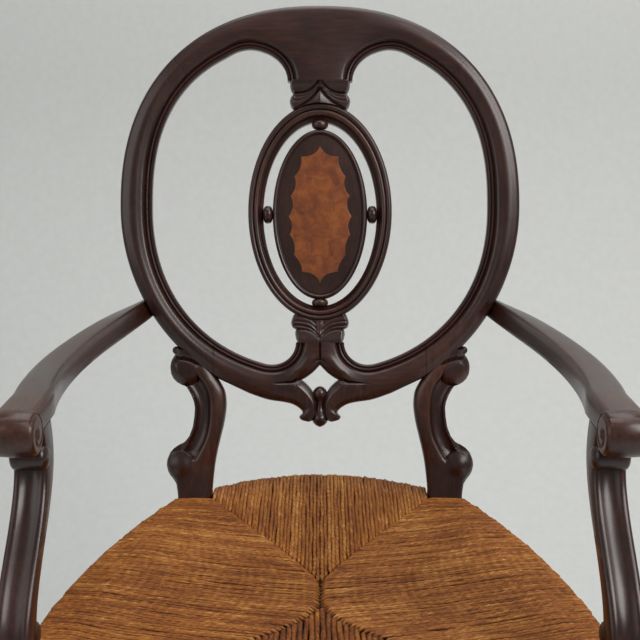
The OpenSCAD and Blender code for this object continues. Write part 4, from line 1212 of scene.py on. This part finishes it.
def upper_relief(a, s):
    spot = Vector((a, s))
    t = 0.9 + 3.3 * ease((s - 462) / 11)
    if above_line(UPPER_CUTS[0][2], spot):
        t += 0.7 - 0.02 * a
    elif above_line(UPPER_CUTS[3][2], spot):
        t += 0.3 + 0.02 * a
    tongue = level_between(UPPER_TONGUE, s)
    if a < tongue:
        t += 2.4 * (1 - a / tongue)
    return t + cuts_at(UPPER_CUTS, spot)


def lower_relief(a, s):
    spot = Vector((a, s))
    t = 1.2 + 3.0 * ease((190 - s) / 13)
    tongue = level_between(LOWER_TONGUE, s)
    if 183 < s < 203 and a < tongue:
        t += 1.3 * ease((s - 183) / 2) * ease((203 - s) / 8) * (1 - (a / tongue) ** 2)
    return t + cuts_at(LOWER_CUTS, spot)


def collar(edge, relief, across=135, along=96):
    low, high = edge[0][0], edge[-1][0]
    ring_w, ring_h, ring_mid = RING_OUT
    sections, rubbed = [], []
    for k in range(along):
        s = low + (high - low) * k / (along - 1)
        half_w = level_between(edge, s)
        row = []
        for j in range(across):
            share = 2 * j / (across - 1) - 1
            x = half_w * (math.sin(math.pi / 2 * share) + share) / 2
            inside = half_w - abs(x)
            t = -1.0 + relief(abs(x), s) * ease(inside / 2.5) - 4.5 * (1 - min(1.0, inside / 4.5)) ** 2.4
            behind_ring = (x / (ring_w - 0.8)) ** 2 + ((s - ring_mid) / (ring_h - 0.8)) ** 2 < 1
            row.append(Vector((x, s, -9.0 if behind_ring else t)))
        rubbed.append([1.0 if abs(p.x) < 3.6 and 183.5 < s < 200 else 0.0 for p in row] + [0.0] * 3)
        row += [Vector((half_w, s, -17.0)), Vector((0, s, -17.6)), Vector((-half_w, s, -17.0))]
        sections.append(row)
    form = sweep(sections, across + 3, marks={"wear_and_glow": rubbed})
    to_back(form)
    return form


show(collar(UPPER_EDGE, upper_relief), "collar_upper", MAHOGANY_UP, crease=50.0)
show(collar(LOWER_EDGE, lower_relief), "collar_lower", MAHOGANY_UP, crease=50.0)

# %% [markdown]
# ## The medallion and its inlay
# The medallion is a board with a rounded rim round a flat field, and the scalloped panel of burr
# veneer lies flush in it. The outline of the inlay goes from cusp to cusp in shallow arcs that bite
# inwards. A boolean could cut its bed, but it would leave long thin faces. So every ring of the
# medallion has as many points as the inlay, and the rings step down into the bed.

# %% The outline of the inlay
CUSPS = [(0, 399.7), (21.6, 387.6), (29.1, 364.7), (33.7, 342.5), (35.9, 319.2), (34.6, 298.8),
         (29.5, 275.5), (20.6, 256), (0, 242.8)]
BITES = [(7.6, 390.4), (22.4, 375.4), (28.0, 352.9), (30.8, 331.5), (32.0, 308.3), (29.2, 287.2),
         (22.4, 265.2), (6.6, 252.2)]
MEDALLION_MID = 321.5


def inlay_line(steps=12):
    """Each arc is a quadratic curve whose pull point makes it pass through its bite."""
    right = []
    for first, bite, second in zip(CUSPS, BITES, CUSPS[1:]):
        first, bite, second = Vector(first), Vector(bite), Vector(second)
        pull = bite * 2 - (first + second) / 2
        for k in range(steps):
            u = k / steps
            right.append(first * (1 - u) ** 2 + pull * (2 * u * (1 - u)) + second * u * u)
    right.append(Vector(CUSPS[-1]))
    return right + [Vector((-p.x, p.y)) for p in reversed(right[1:-1])]


INLAY = inlay_line()
TURNS = [math.atan2((p.y - MEDALLION_MID) / 78.5, p.x / 35.5) for p in INLAY]
print("points on the inlay's outline:", len(INLAY))

# %% [markdown]
# ## The board and the veneer
# The board is swept from its back over the rim to the bed of the inlay. The veneer is a thin plate
# in the bed, 0.02 mm proud of the field and with a fine bevel. Its crease angle is small, so that
# the flat face isn't shaded as if it were round.

# %% Medallion and veneer
RIM = [(20, -17), (1.2, -17), (0, -16), (0, -4.6), (0.5, -2.8), (1.6, -1.3), (3, -0.7), (4.2, -1.1),
       (5.1, -2.4), (5.5, -4.9), (6.3, -5.1), (6.6, -4.0), (10, -4.0)]
MEDALLION_W, MEDALLION_H = 54, 97
FIELD_T = -4.0


def medallion_ring(inset, t):
    half_w, half_h = MEDALLION_W - inset, MEDALLION_H - inset
    return [Vector((*ring_spot(half_w, half_h, MEDALLION_MID, turn), t)) for turn in TURNS]


def inlay_ring(t, grow=0.0):
    ring = []
    for p in INLAY:
        arm = p - Vector((0, MEDALLION_MID))
        ring.append(Vector((*(p + arm.normalized() * grow), t)))
    return ring


rings = [medallion_ring(inset, t) for inset, t in RIM]
rings += [inlay_ring(FIELD_T, 1.2), inlay_ring(FIELD_T, 0.15), inlay_ring(-5.4, 0.15)]
rubbed = [[0.7 if number in (8, 9, 10) else 0.0] * len(INLAY) for number in range(len(rings))]
board = sweep(rings, len(INLAY), marks={"wear_and_glow": rubbed})
to_back(board)
show(board, "medallion_moulded", MAHOGANY_UP, ["medallion"])

veneer = sweep([inlay_ring(-5.3), inlay_ring(-4.05), inlay_ring(-3.98, -0.25)], len(INLAY))
to_back(veneer)
show(veneer, "inlay_veneer", SATINWOOD, ["inlay_panel"], 6.0)

# %% [markdown]
# ## The beads
# Four turned beads hold the medallion in the ring. A bead is a plump barrel, fuller than a sphere,
# so its profile is a superellipse. It lies along x at the sides, and along s above and below.

# %% Beads
BEAD_STEPS, BEAD_AROUND, PLUMP = 24, 32, 2.6


def turned_bead(middle, axis, length, radius):
    sections = []
    for k in range(BEAD_STEPS + 1):
        u = -1 + 2 * k / BEAD_STEPS
        r = max(0.25, radius * (1 - abs(u) ** PLUMP) ** (1 / PLUMP)) if abs(u) < 1 else 0.25
        spots = []
        for j in range(BEAD_AROUND):
            angle = 2 * math.pi * j / BEAD_AROUND
            side, deep = r * math.cos(angle), r * math.sin(angle)
            along = u * length / 2
            shift = (along, side, deep) if axis == "x" else (side, along, deep)
            spots.append(Vector(middle) + Vector(shift))
        sections.append(spots)
    form = sweep(sections, BEAD_AROUND)
    to_back(form)
    return form


for name, middle, axis, length, radius in (
    ("bead_top", (0, 424.2, -8.5), "s", 11.0, 9.4), ("bead_bottom", (0, 220.8, -8.5), "s", 9.6, 9.4),
    ("bead_left", (-59.5, MEDALLION_MID, -8.5), "x", 11.4, 10.2),
    ("bead_right", (59.5, MEDALLION_MID, -8.5), "x", 11.4, 10.2),
):
    show(turned_bead(middle, axis, length, radius), name + "_turned", MAHOGANY_RED, [name])

# %% [markdown]
# ## The lines of a scrolled post
# Each rear post rises as an S from the seat to the oval. Its inner half is rounded and rubbed red,
# and a dark flute runs beside it, from the ball at the top down to a point at the lower scroll. The
# lines are tables of (s, x) pairs: the inner and outer edges, the lip outside the flute and the
# ridge between flute and round. ROUNDED and HOLLOW are the two sections, from 0 to 1 across.

# %% Lines of the posts
POST_IN = smooth_table([
    (-22, 123.2), (0, 123.1), (16.1, 121.8), (25.9, 120.8), (39.2, 119.1), (53.1, 116.4), (67.6, 113),
    (82.6, 109.4), (98.3, 107.0), (108.7, 106.7), (119.2, 108.2), (128.2, 112.5), (140, 119.8), (168, 136)])
POST_OUT = [
    (-22, 159.5), (-1, 161), (8.5, 162.1), (15, 163.2), (18, 165.6), (23.6, 170.2), (29.4, 173.1),
    (36.4, 174.4), (42.2, 173.8), (49.8, 170.9), (55.0, 166.3), (59.0, 160.4), (60.8, 155.6),
    (63.1, 153.3), (68.9, 148.7), (79.4, 144.7), (91, 142.9), (101.5, 142.3), (108.4, 143.6),
    (115.4, 146.2), (122.4, 150.2), (125.9, 152.6), (127, 157.6), (129.9, 163), (134, 167.0),
    (139.8, 169.9), (147.4, 170.8), (153.2, 169.9), (158.4, 167.6), (162, 165.6), (168, 164)]
POST_LIP = smooth_table([
    (-22, 157.5), (8, 160), (16, 161), (20, 162.5), (25, 166.5), (30, 169), (36, 170.2), (43.8, 168.8),
    (47, 167.3), (49.6, 165.0), (51.5, 161.5), (52.6, 158), (54, 154.9), (58, 151.7), (63, 149.8), (69, 146.4),
    (79, 142.5), (91, 140.9), (101.5, 140.3), (108.4, 141.6), (115.4, 144.2), (122, 148.2), (126, 151.4),
    (140, 160)])
POST_RIDGE = smooth_table([
    (-22, 145.5), (30, 145.5), (38.6, 143.7), (45, 139.7), (54, 134.8), (66.5, 129), (79, 126), (90, 124.8),
    (104, 124.6), (115, 125.6), (124, 128.6), (131, 132.5), (136, 137), (145, 141), (168, 150)])
BALL_LINE = curve_through([
    (134, 141), (136.7, 135.4), (139.6, 130.7), (144.8, 127.2), (151.8, 126.1), (157.6, 127), (163, 129.9),
    (167, 134), (169.9, 139.8), (170.8, 147.4), (169.9, 153.2), (167.6, 158.4), (165.9, 161.9)], 40)
ROUNDED = [(0.0, -9.0), (0.02, -6.2), (0.07, -3.9), (0.15, -2.2), (0.28, -0.6), (0.45, 0.7), (0.65, 1.5),
           (0.82, 1.7), (0.94, 1.3), (1.0, 0.3)]
HOLLOW = [(0.0, 0.3), (0.05, -0.9), (0.18, -3.0), (0.38, -5.0), (0.55, -5.5), (0.72, -4.8), (0.86, -3.0),
          (0.95, -1.0), (1.0, 0.1)]
SCROLL_ARC = [(143, 39.5), (145, 44.5), (148.5, 48.3), (153, 51.2), (158, 52.6)]
CREASE_LINE = [(169, 161.5), (163.7, 159.2), (160.5, 157.4), (153.3, 156.8), (145.5, 154.6), (137.7, 150.8)]
BALL_CREASE = [(3.0, 1.5, CREASE_LINE), (1.6, 4.5, CREASE_LINE)]
SCROLL_EYE, EYE_REACH, EYE_RISE = Vector((157.5, 36.0)), 15.5, 2.8
print("points round the ball:", len(BALL_LINE))

# %% [markdown]
# ## Carving the posts
# A post is built from level rows of points, and one function gives the height of any point. Below
# the ball it is that of the round part, of the flute or of the outer edge. At the top the ball
# covers the flute, with a crease across it, and the lower scroll has a small raised eye. Such a
# formula is easier to correct than a mesh that was sculpted once.

# %% Scrolled posts
FLAT_T = 1.7
ROW_STEP, FIRST_ROW, ROWS = 0.84, -9, 211
ROUND_STEPS = (0, 0.02, 0.05, 0.09, 0.15, 0.22, 0.3, 0.4, 0.5, 0.62, 0.75, 0.88, 0.97)
FLUTE_STEPS = 44
# The second value is the middle of a painted reddish glow of light on the lower outer side of the ball.
BALL_FOOT, BALL_GLOW_SPOT = 148, Vector((163, 134))


def post_height(x, s):
    spot = Vector((x, s))
    left, lip, ridge = level_between(POST_IN, s), level_between(POST_LIP, s), level_between(POST_RIDGE, s)
    carved = ease((s - 36) / 8)
    if x <= ridge:
        u = (x - left) / (ridge - left)
        t = level_between(ROUNDED, u) if u < 0.82 else FLAT_T - 1.4 * carved * ((u - 0.82) / 0.18) ** 1.5
    elif x <= lip:
        flute = level_between(HOLLOW, (x - ridge) / (lip - ridge))
        flush = FLAT_T - 0.7 * ((x - ridge) / (lip - ridge)) ** 3
        t = flush + (flute - flush) * ease((s - level_between(SCROLL_ARC, x)) / 1.8) * carved
    else:
        start = 1.0 - 0.9 * ease((s - 50) / 6)
        t = start - (5.6 + start) * min(1.0, (x - lip) / 5.5) ** 1.3
    if s > 125:
        inward = distance_to(BALL_LINE, spot)
        low = min((p for p in BALL_LINE if p.y < BALL_FOOT), key=lambda p: abs(p.x - x)).y
        if s > low and x > 134:
            t = max(t if x <= ridge else -9.0, 2.3 - 8.0 * (1 - min(1.0, inward / 11.0)) ** 2)
        t += cuts_at(BALL_CREASE, spot)
    from_eye = (spot - SCROLL_EYE).length / EYE_REACH
    return t + EYE_RISE * max(0.0, 1 - from_eye ** 2) ** 2


def wear_and_glow_at(x, s, left, ridge):
    """Worn on the rounded half, more so higher up, and a painted glow of light round one spot of the ball."""
    glow = 0.9 * ease((s - 12) / 40) * ease((x - left) / 5) if x <= ridge + 0.5 else 0.0
    # Round the spot on the ball the redder brown is a painted glow of light, not wear.
    return max(glow, 0.8 * ease((14 - (Vector((x, s)) - BALL_GLOW_SPOT).length) / 9))


def scrolled_post():
    sections, rubbed = [], []
    for k in range(ROWS):
        s = FIRST_ROW + ROW_STEP * k
        left, ridge, right = level_between(POST_IN, s), level_between(POST_RIDGE, s), level_between(POST_OUT, s)
        xs = [left + (ridge - left) * f for f in ROUND_STEPS]
        xs += [ridge + (right - ridge) * j / FLUTE_STEPS for j in range(FLUTE_STEPS + 1)]
        row = [Vector((x, s, post_height(x, s))) for x in xs]
        row += [Vector((right - 2, s, -31)), Vector((right - 3, s, -32))]
        row += [Vector((left + 5, s, -32)), Vector((left + 4, s, -31))]
        sections.append(row)
        rubbed.append([wear_and_glow_at(x, s, left, ridge) for x in xs] + [0.0] * 4)
    return sweep(sections, len(sections[0]), marks={"wear_and_glow": rubbed})


def turned(profile, start, axis, around=48):
    """Turns a profile of (radius, distance) pairs round an axis, as on a lathe."""
    axis = Vector(axis).normalized()
    side = axis.orthogonal().normalized()
    other = axis.cross(side)
    turns = [2 * math.pi * j / around for j in range(around)]
    sections = []
    for radius, along in profile:
        middle = Vector(start) + axis * along
        sections.append([middle + (side * math.cos(a) + other * math.sin(a)) * max(0.2, radius) for a in turns])
    return sweep(sections, around)


EAR = [(0.2, -21), (4.3, -20), (4.5, -5.5), (4.1, -3.7), (3.3, -2.6), (2.0, -1.9), (0.2, -1.7)]
in_pairs(scrolled_post(), "post_carved_{}", MAHOGANY_UP, ["rear_leg_{}"])
in_pairs(turned(EAR, (163.9, 166.4, 0), (0, 0, 1), 32), "post_ear_{}", MAHOGANY_UP)

# %% [markdown]
# ## The rear legs below the seat
# The post goes on below the seat as a plain square leg that rakes back to the floor. A bevelled box
# would be straight, so a square with rounded corners is swept along the rake. Its first section is
# a little smaller, which breaks the edge at the floor.

# %% Rear legs
REAR_LEG_X, RAKE = 143, 58
CORNER = [(1, 0.35), (0.97, 0.72), (0.9, 0.9), (0.74, 0.98), (0.4, 1)]


def rear_leg_below(height=437.0, steps=44):
    quarter = CORNER + [(0, 1)] + [(-x, y) for x, y in reversed(CORNER)]
    ring = quarter + [(-x, -y) for x, y in quarter]
    sections = []
    for k in range(steps + 1):
        z = height * k / steps
        middle = REAR_LEG_Y + RAKE * (1 - z / SEAT_H) ** 1.6
        trim = 0.93 if k == 0 else 1.0
        half_w, half_d = 19.6 * trim, (28 + 4.04 * z / SEAT_H) / 2 * trim
        sections.append([Vector((REAR_LEG_X + half_w * x, middle + half_d * y, z)) for x, y in ring])
    return sweep(sections, len(ring))


in_pairs(rear_leg_below(), "rear_leg_lower_{}", MAHOGANY_UP, place=to_seat)

# %% [markdown]
# ## The front legs
# The front legs are turned on a lathe from a square block, which is left whole where the seat rails
# meet it. A profile on the lathe is a row of long swells with narrow round beads between them. Two
# small functions draw these, so that the profile reads like a turner's notes, from the floor up.

# %% Front legs
FRONT_LEG_X = 238
BLOCK_W, BLOCK_H, BLOCK_MID = 44, 74, 409


def swell(r1, z1, r2, z2, steps=12):
    """A soft S from one radius to another."""
    rises = [(1 - math.cos(math.pi * i / steps)) / 2 for i in range(steps + 1)]
    return [(r1 + (r2 - r1) * rise, z1 + (z2 - z1) * i / steps) for i, rise in enumerate(rises)]


def ring_bead(r, z, h, proud, steps=10):
    """A half-round bead on a radius."""
    return [(r + proud * math.sin(math.pi * i / steps), z + h * i / steps) for i in range(steps + 1)]


LEG = [(0.2, 0), (10.8, 0), (12.2, 0.8)] + swell(14, 3, 12, 34) + ring_bead(12, 36, 8, 3)
LEG += swell(12, 47, 14, 116) + ring_bead(14, 120, 8, 3)
LEG += swell(15.2, 129.5, 19, 150, 8) + swell(19, 150.5, 15.2, 171, 8)
LEG += ring_bead(14, 172, 8, 3) + swell(13, 184, 19, 328) + swell(19, 332, 13, 354) + ring_bead(14, 356, 9, 4)
LEG += [(15.4, 367), (17.2, 370.5), (18, 373.5), (0.2, 374)]


def leg_block():
    form = bmesh.new()
    bmesh.ops.create_cube(form, size=1.0)
    for vert in form.verts:
        x, y, z = vert.co
        vert.co = Vector((FRONT_LEG_X + BLOCK_W * x, FRONT_LEG_Y + BLOCK_W * y, BLOCK_MID + BLOCK_H * z))
    bmesh.ops.bevel(form, geom=list(form.edges), offset=2.4, offset_type="OFFSET", segments=3, profile=0.5,
                    affect="EDGES", material=-1)
    bmesh.ops.recalc_face_normals(form, faces=form.faces)
    return form


leg = turned(LEG, (FRONT_LEG_X, FRONT_LEG_Y, 0), (0, 0, 1))
in_pairs(leg, "front_leg_turned_{}", MAHOGANY_UP, ["front_leg_{}"], to_seat, 50.0)
in_pairs(leg_block(), "front_leg_block_{}", MAHOGANY_UP, place=to_seat, crease=20.0)

# %% [markdown]
# ## The stretchers
# Four turned stretchers join the legs. The two side ones carry the cross one at their thickest. One
# profile, drawn for half a stretcher and mirrored, serves all of them at any length.

# %% Stretchers
SIDE_REAR_END, SIDE_FRONT_END = Vector((143, 31.5, 150)), Vector((233.8, -366.5, 150))


def stretcher(length, middle_r):
    half = length / 2
    rising = [(0.2, -half - 3), (7, -half - 2.9)] + swell(7, -half + 4, 10.5, -half + 24)
    rising += ring_bead(9, -half + 26, 7, 2.5) + swell(9, -half + 35, middle_r, -14, 20)
    return rising + [(r, -along) for r, along in reversed(rising)]


side_run = SIDE_FRONT_END - SIDE_REAR_END
side_form = turned(stretcher(side_run.length, 15), (SIDE_REAR_END + SIDE_FRONT_END) / 2, side_run)
in_pairs(side_form, "side_stretcher_turned_{}", MAHOGANY_LONG, ["side_stretcher_{}"], to_seat, 50.0)
for name, length, radius, y, z in (("cross_stretcher", 348.8, 13, -167.5, 150),
                                   ("rear_stretcher", 246.0, 12, 37.7, 205)):
    form = turned(stretcher(length, radius), (0, y, z), (1, 0, 0))
    to_seat(form)
    show(form, name + "_turned", MAHOGANY_ACROSS, [name], 50.0)

# %% [markdown]
# ## The arms
# An arm starts upright against the side of the oval and turns level within a hand's width. It is
# flat on the sides and below, with a soft top, and rolls over into a scroll at the front. A curve
# object would twist in its own way on such a bend, so the two directions of each section are set
# here: they start square to the oval and are blended into level and upright.

# %% Arms
ARM_LINE = [Vector((203.8, 68.3, 642.3)), Vector((207.8, 18.3, 646.3)), Vector((262, -148.7, 640)),
            Vector((240, -290, 640))]
ARM_SECTION = [(-0.5, -0.3), (-0.5, 0.0), (-0.5, 0.22), (-0.475, 0.335), (-0.42, 0.42), (-0.33, 0.465),
               (-0.18, 0.49), (0, 0.5), (0.18, 0.49), (0.33, 0.465), (0.42, 0.42), (0.475, 0.335), (0.5, 0.22),
               (0.5, 0.0), (0.5, -0.3), (0.49, -0.43), (0.45, -0.48), (0.38, -0.5), (0, -0.5), (-0.38, -0.5),
               (-0.45, -0.48), (-0.49, -0.43)]
ARM_STEPS, STRAIGHT_STEPS, STRAIGHT_STEP = 50, 6, 10.0
OVAL_WAY = Vector((0.866, -0.499))


def arm_spot(u):
    """A cubic curve from the oval forwards."""
    a, b, c, d = ARM_LINE
    return a * (1 - u) ** 3 + b * 3 * (1 - u) ** 2 * u + c * 3 * (1 - u) * u * u + d * u ** 3


def arm():
    out, tilt_s, tilt_c = OVAL_WAY, math.sin(LEAN), math.cos(LEAN)
    first_across = Vector((out.x, out.y * tilt_s, out.y * tilt_c))
    first_up = Vector((-out.y, out.x * tilt_s, out.x * tilt_c))
    sections, rubbed = [], []
    for k in range(ARM_STEPS + STRAIGHT_STEPS + 1):
        u = k / ARM_STEPS
        turn = min(1.0, 2.5 * u)
        if k <= ARM_STEPS:
            middle, ahead = arm_spot(u), arm_spot(u + 0.005) - arm_spot(u - 0.005)
        else:
            ahead = Vector((0, -1, 0))
            middle = ARM_LINE[-1] + ahead * (STRAIGHT_STEP * (k - ARM_STEPS))
        level = Vector((-ahead.y, ahead.x, 0)).normalized()
        across = first_across.lerp(level, turn).normalized()
        up = first_up.lerp(Vector((0, 0, 1)), turn).normalized()
        width, height = 19 + 15 * min(1, u), 22 + 2 * min(1.0, 3 * u)
        sections.append([middle + across * (width * a) + up * (height * b) for a, b in ARM_SECTION])
        glow = 0.25 + 0.45 * ease((u - 0.6) / 0.4)
        rubbed.append([glow if b > 0.2 or a < -0.45 else 0.0 for a, b in ARM_SECTION])
    return sweep(sections, len(ARM_SECTION), marks={"wear_and_glow": rubbed})


in_pairs(arm(), "arm_shaped_{}", MAHOGANY_LONG, ["arm_{}"], to_seat)

# %% [markdown]
# ## The scroll of the arm
# The rolled front end is a short roller across the arm. Its sides are domed, with a small eye in
# the middle and a cut spiral. One function gives how far a side stands out at any radius and angle,
# because a bump in the material would leave the silhouette and the mesh plain.

# %% Scroll of the arm
ROLLER, ROLLER_R, ROLLER_HALF = Vector((240, -350, 633)), 18.9, 18.6
ROLLER_AROUND = 64


def roller_side(r, a):
    """Half the roller's length at a radius and an angle: eye, soft rim and spiral."""
    eye = 1.6 * max(0.0, 1 - (r / 5.5) ** 2)
    rim = 3.2 * max(0.0, (r - 14.5) / 3.5) ** 2
    spiral = 6.5 + 10.5 * ((a - 2.4) % (2 * math.pi)) / (2 * math.pi)
    cut_in = 1.8 * math.exp(-(r - spiral) ** 2) if r > 5 else 0.0
    return ROLLER_HALF + eye - rim - cut_in


def arm_scroll():
    radii = [0.2] + [0.9 * i for i in range(1, 21)]
    turns = [2 * math.pi * j / ROLLER_AROUND for j in range(ROLLER_AROUND)]
    sections = []
    for r, side in [(r, -1) for r in radii] + [(ROLLER_R, 0)] + [(r, 1) for r in reversed(radii)]:
        sections.append([ROLLER + Vector((side * roller_side(r, a), r * math.cos(a), r * math.sin(a)))
                         for a in turns])
    return sweep(sections, ROLLER_AROUND, marks={"wear_and_glow": [[0.5] * ROLLER_AROUND] * len(sections)})


in_pairs(arm_scroll(), "arm_scroll_{}", MAHOGANY_LONG, place=to_seat, crease=60.0)

# %% [markdown]
# ## The supports under the arms
# A support is an S seen from the side, with a flute down its front and a scroll at each end. Its
# section is swept up the S and stretched fore and aft, so that it is slimmer in the middle. The
# scrolls are turned buttons across it.

# %% Arm supports
SUPPORT_SECTION = [(-11, -0.5), (-9, -0.5), (-7.6, -0.47), (-5.6, -0.41), (-3, -0.37), (0, -0.355), (3, -0.37),
                   (5.6, -0.41), (7.6, -0.47), (9, -0.5), (11, -0.5), (13, -0.46), (14, -0.38), (14, 0),
                   (14, 0.38), (13, 0.46), (11, 0.5), (0, 0.52), (-11, 0.5), (-13, 0.46), (-14, 0.38), (-14, 0),
                   (-14, -0.38), (-13, -0.46)]
SCROLL_END = [(0.2, -16.2), (2.5, -16.1), (5.5, -15.6), (8, -14.7), (9.9, -13.3), (10.8, -11.6), (11, -10)]
SCROLL_END += [(r, -along) for r, along in reversed(SCROLL_END)]
SUPPORT_LOW, SUPPORT_HIGH = Vector((FRONT_LEG_Y, 446)), Vector((-312, 628))
SUPPORT_W, SUPPORT_STEPS = 32, 56


def support_spot(u):
    """The middle line as (y, z), an S that starts and ends upright."""
    s_bend = -12 * math.sin(2 * math.pi * u)
    upright = (SUPPORT_HIGH.x - SUPPORT_LOW.x) * (0.5 - u - math.cos(math.pi * u) / 2)
    return SUPPORT_LOW.lerp(SUPPORT_HIGH, u) + Vector((s_bend + upright, 0))


def support_width(u):
    return SUPPORT_W * (0.72 + 0.28 * (2 * u - 1) ** 2)


def arm_support():
    sections = []
    for k in range(SUPPORT_STEPS + 1):
        u = k / SUPPORT_STEPS
        spot, width = support_spot(u), support_width(u)
        sections.append([Vector((FRONT_LEG_X + x, spot.x + width * b, spot.y)) for x, b in SUPPORT_SECTION])
    return sweep(sections, len(SUPPORT_SECTION))


in_pairs(arm_support(), "arm_support_carved_{}", MAHOGANY_UP, ["arm_support_{}"], to_seat)
for letter, u, side in (("a", 0.16, 1), ("b", 0.86, -1)):
    spot = support_spot(u) + Vector((side * (support_width(u) / 2 - 1), 0))
    button = turned(SCROLL_END, (FRONT_LEG_X, *spot), (1, 0, 0), 40)
    in_pairs(button, "support_scroll_" + letter + "_{}", MAHOGANY_UP, place=to_seat)

# %% [markdown]
# ## The floor
# The floor is a pale paper sheet that turns up behind the chair in a wide bend, as in a studio, so
# that there is no line behind it. Seen from behind it would hide the chair. So its back is see-through,
# for the camera only: the Is Camera Ray output of Light Path says which rays may pass, and the
# light in the scene stays as it is.

# %% Floor
FLOOR_HALF, WALL_Y, WALL_HEIGHT, WALL_BEND = 4.0, 1.6, 4.5, 0.9
PAPER_GRAIN = 16.67


def pale_sheet():
    material = new_material("studio_paper_pale")
    place = add(material, "ShaderNodeTexCoord").outputs["Object"]
    grain = add(material, "ShaderNodeTexNoise", {"Scale": scale_for(PAPER_GRAIN), "Detail": 2.0}, Vector=place)
    colour = ramp(material, grain.outputs["Fac"], [(0.3, "#c9cccb"), (0.7, "#cdd0cf")])
    shader = add(material, "ShaderNodeBsdfPrincipled", {"Roughness": 0.8}, Base__Color=colour)
    behind = add(material, "ShaderNodeNewGeometry").outputs["Backfacing"]
    seen = add(material, "ShaderNodeLightPath").outputs["Is Camera Ray"]
    away = add(material, "ShaderNodeMath", {"operation": "MULTIPLY"}, _0=behind, _1=seen).outputs[0]
    clear = add(material, "ShaderNodeBsdfTransparent").outputs["BSDF"]
    sheet = add(material, "ShaderNodeMixShader", None, _0=away, _1=shader.outputs["BSDF"], _2=clear)
    add(material, "ShaderNodeOutputMaterial", Surface=sheet.outputs["Shader"])
    return material


def studio_floor():
    form = bmesh.new()
    bmesh.ops.create_grid(form, x_segments=1, y_segments=1, size=FLOOR_HALF)
    back = [edge for edge in form.edges if all(vert.co.y > FLOOR_HALF - 0.1 for vert in edge.verts)]
    foot_line = set(back[0].verts)
    for vert in foot_line:
        vert.co.y = WALL_Y
    grown = bmesh.ops.extrude_edge_only(form, edges=back)["geom"]
    for vert in [part for part in grown if isinstance(part, bmesh.types.BMVert)]:
        vert.co.z += WALL_HEIGHT
    corner = [edge for edge in form.edges if foot_line.issuperset(edge.verts)]
    bmesh.ops.bevel(form, geom=corner, offset=WALL_BEND, offset_type="OFFSET", segments=16, profile=0.5,
                    affect="EDGES", material=-1)
    for face in form.faces:
        face.smooth = True
    bmesh.ops.recalc_face_normals(form, faces=form.faces)
    if max(form.faces, key=lambda face: face.calc_area()).normal.z < 0.5:
        bmesh.ops.reverse_faces(form, faces=form.faces)
    print("floor faces up:", all(face.normal.z > -0.01 for face in form.faces))
    mesh = bpy.data.meshes.new("studio_floor")
    form.to_mesh(mesh)
    form.free()
    mesh.materials.append(pale_sheet())
    floor = bpy.data.objects.new("studio_floor", mesh)
    bpy.context.scene.collection.objects.link(floor)
    return floor


studio_floor()

# %% [markdown]
# ## The lights
# The lights are large and soft, as in a studio: a key from the right, a weak fill from the left and
# a lamp above, which gives the polish its long glints. A little light from all round, the world's,
# keeps the shadows open. A sun would be simpler, but it would give hard shadows.

# %% Lights
def lamp(name, place, aim, size, power, colour=(1.0, 1.0, 1.0)):
    data = bpy.data.lights.new(name, "AREA")
    data.size, data.energy, data.color = size, power, colour
    light = bpy.data.objects.new(name, data)
    light.location = place
    light.rotation_euler = (Vector(aim) - Vector(place)).to_track_quat("-Z", "Y").to_euler()
    bpy.context.scene.collection.objects.link(light)
    print(name, "gives", power, "W from a square of", size, "m")


lamp("soft_key", (1.9, -1.6, 2.5), (0, 0.1, 0.6), 1.7, 64.0, (1.0, 0.97, 0.94))
lamp("soft_fill", (-2.3, -1.4, 1.9), (0, 0, 0.6), 2.2, 17.0, (1.0, 0.99, 0.97))
lamp("top_light", (0.2, 0.5, 3.0), (0, 0, 0.5), 2.2, 35.0)

world = bpy.data.worlds.new("studio_air")
world.use_nodes = True
world.node_tree.nodes["Background"].inputs["Color"].default_value = hex_colour("#e8e4df")
world.node_tree.nodes["Background"].inputs["Strength"].default_value = 0.3
bpy.context.scene.world = world

# %% [markdown]
# ## The camera
# The camera stands close in front of the chair, a little lower than its top, and looks down at the
# back and the seat. Its place and its lens were found by fitting known points of the chair. The
# view transform is Standard, so that colours render about as they are written.

# %% Camera
CAMERA_PLACE, CAMERA_DOWN, CAMERA_LENS = (0.0, -1.0294, 0.910), 12.67, 61.875

camera_data = bpy.data.cameras.new("camera")
camera_data.lens = CAMERA_LENS
camera = bpy.data.objects.new("camera", camera_data)
camera.location = CAMERA_PLACE
camera.rotation_euler = (math.radians(90 - CAMERA_DOWN), 0, 0)
bpy.context.scene.collection.objects.link(camera)
bpy.context.scene.camera = camera
bpy.context.scene.view_settings.view_transform = "Standard"
print("camera at", CAMERA_PLACE, "tilted down by", CAMERA_DOWN, "degrees")
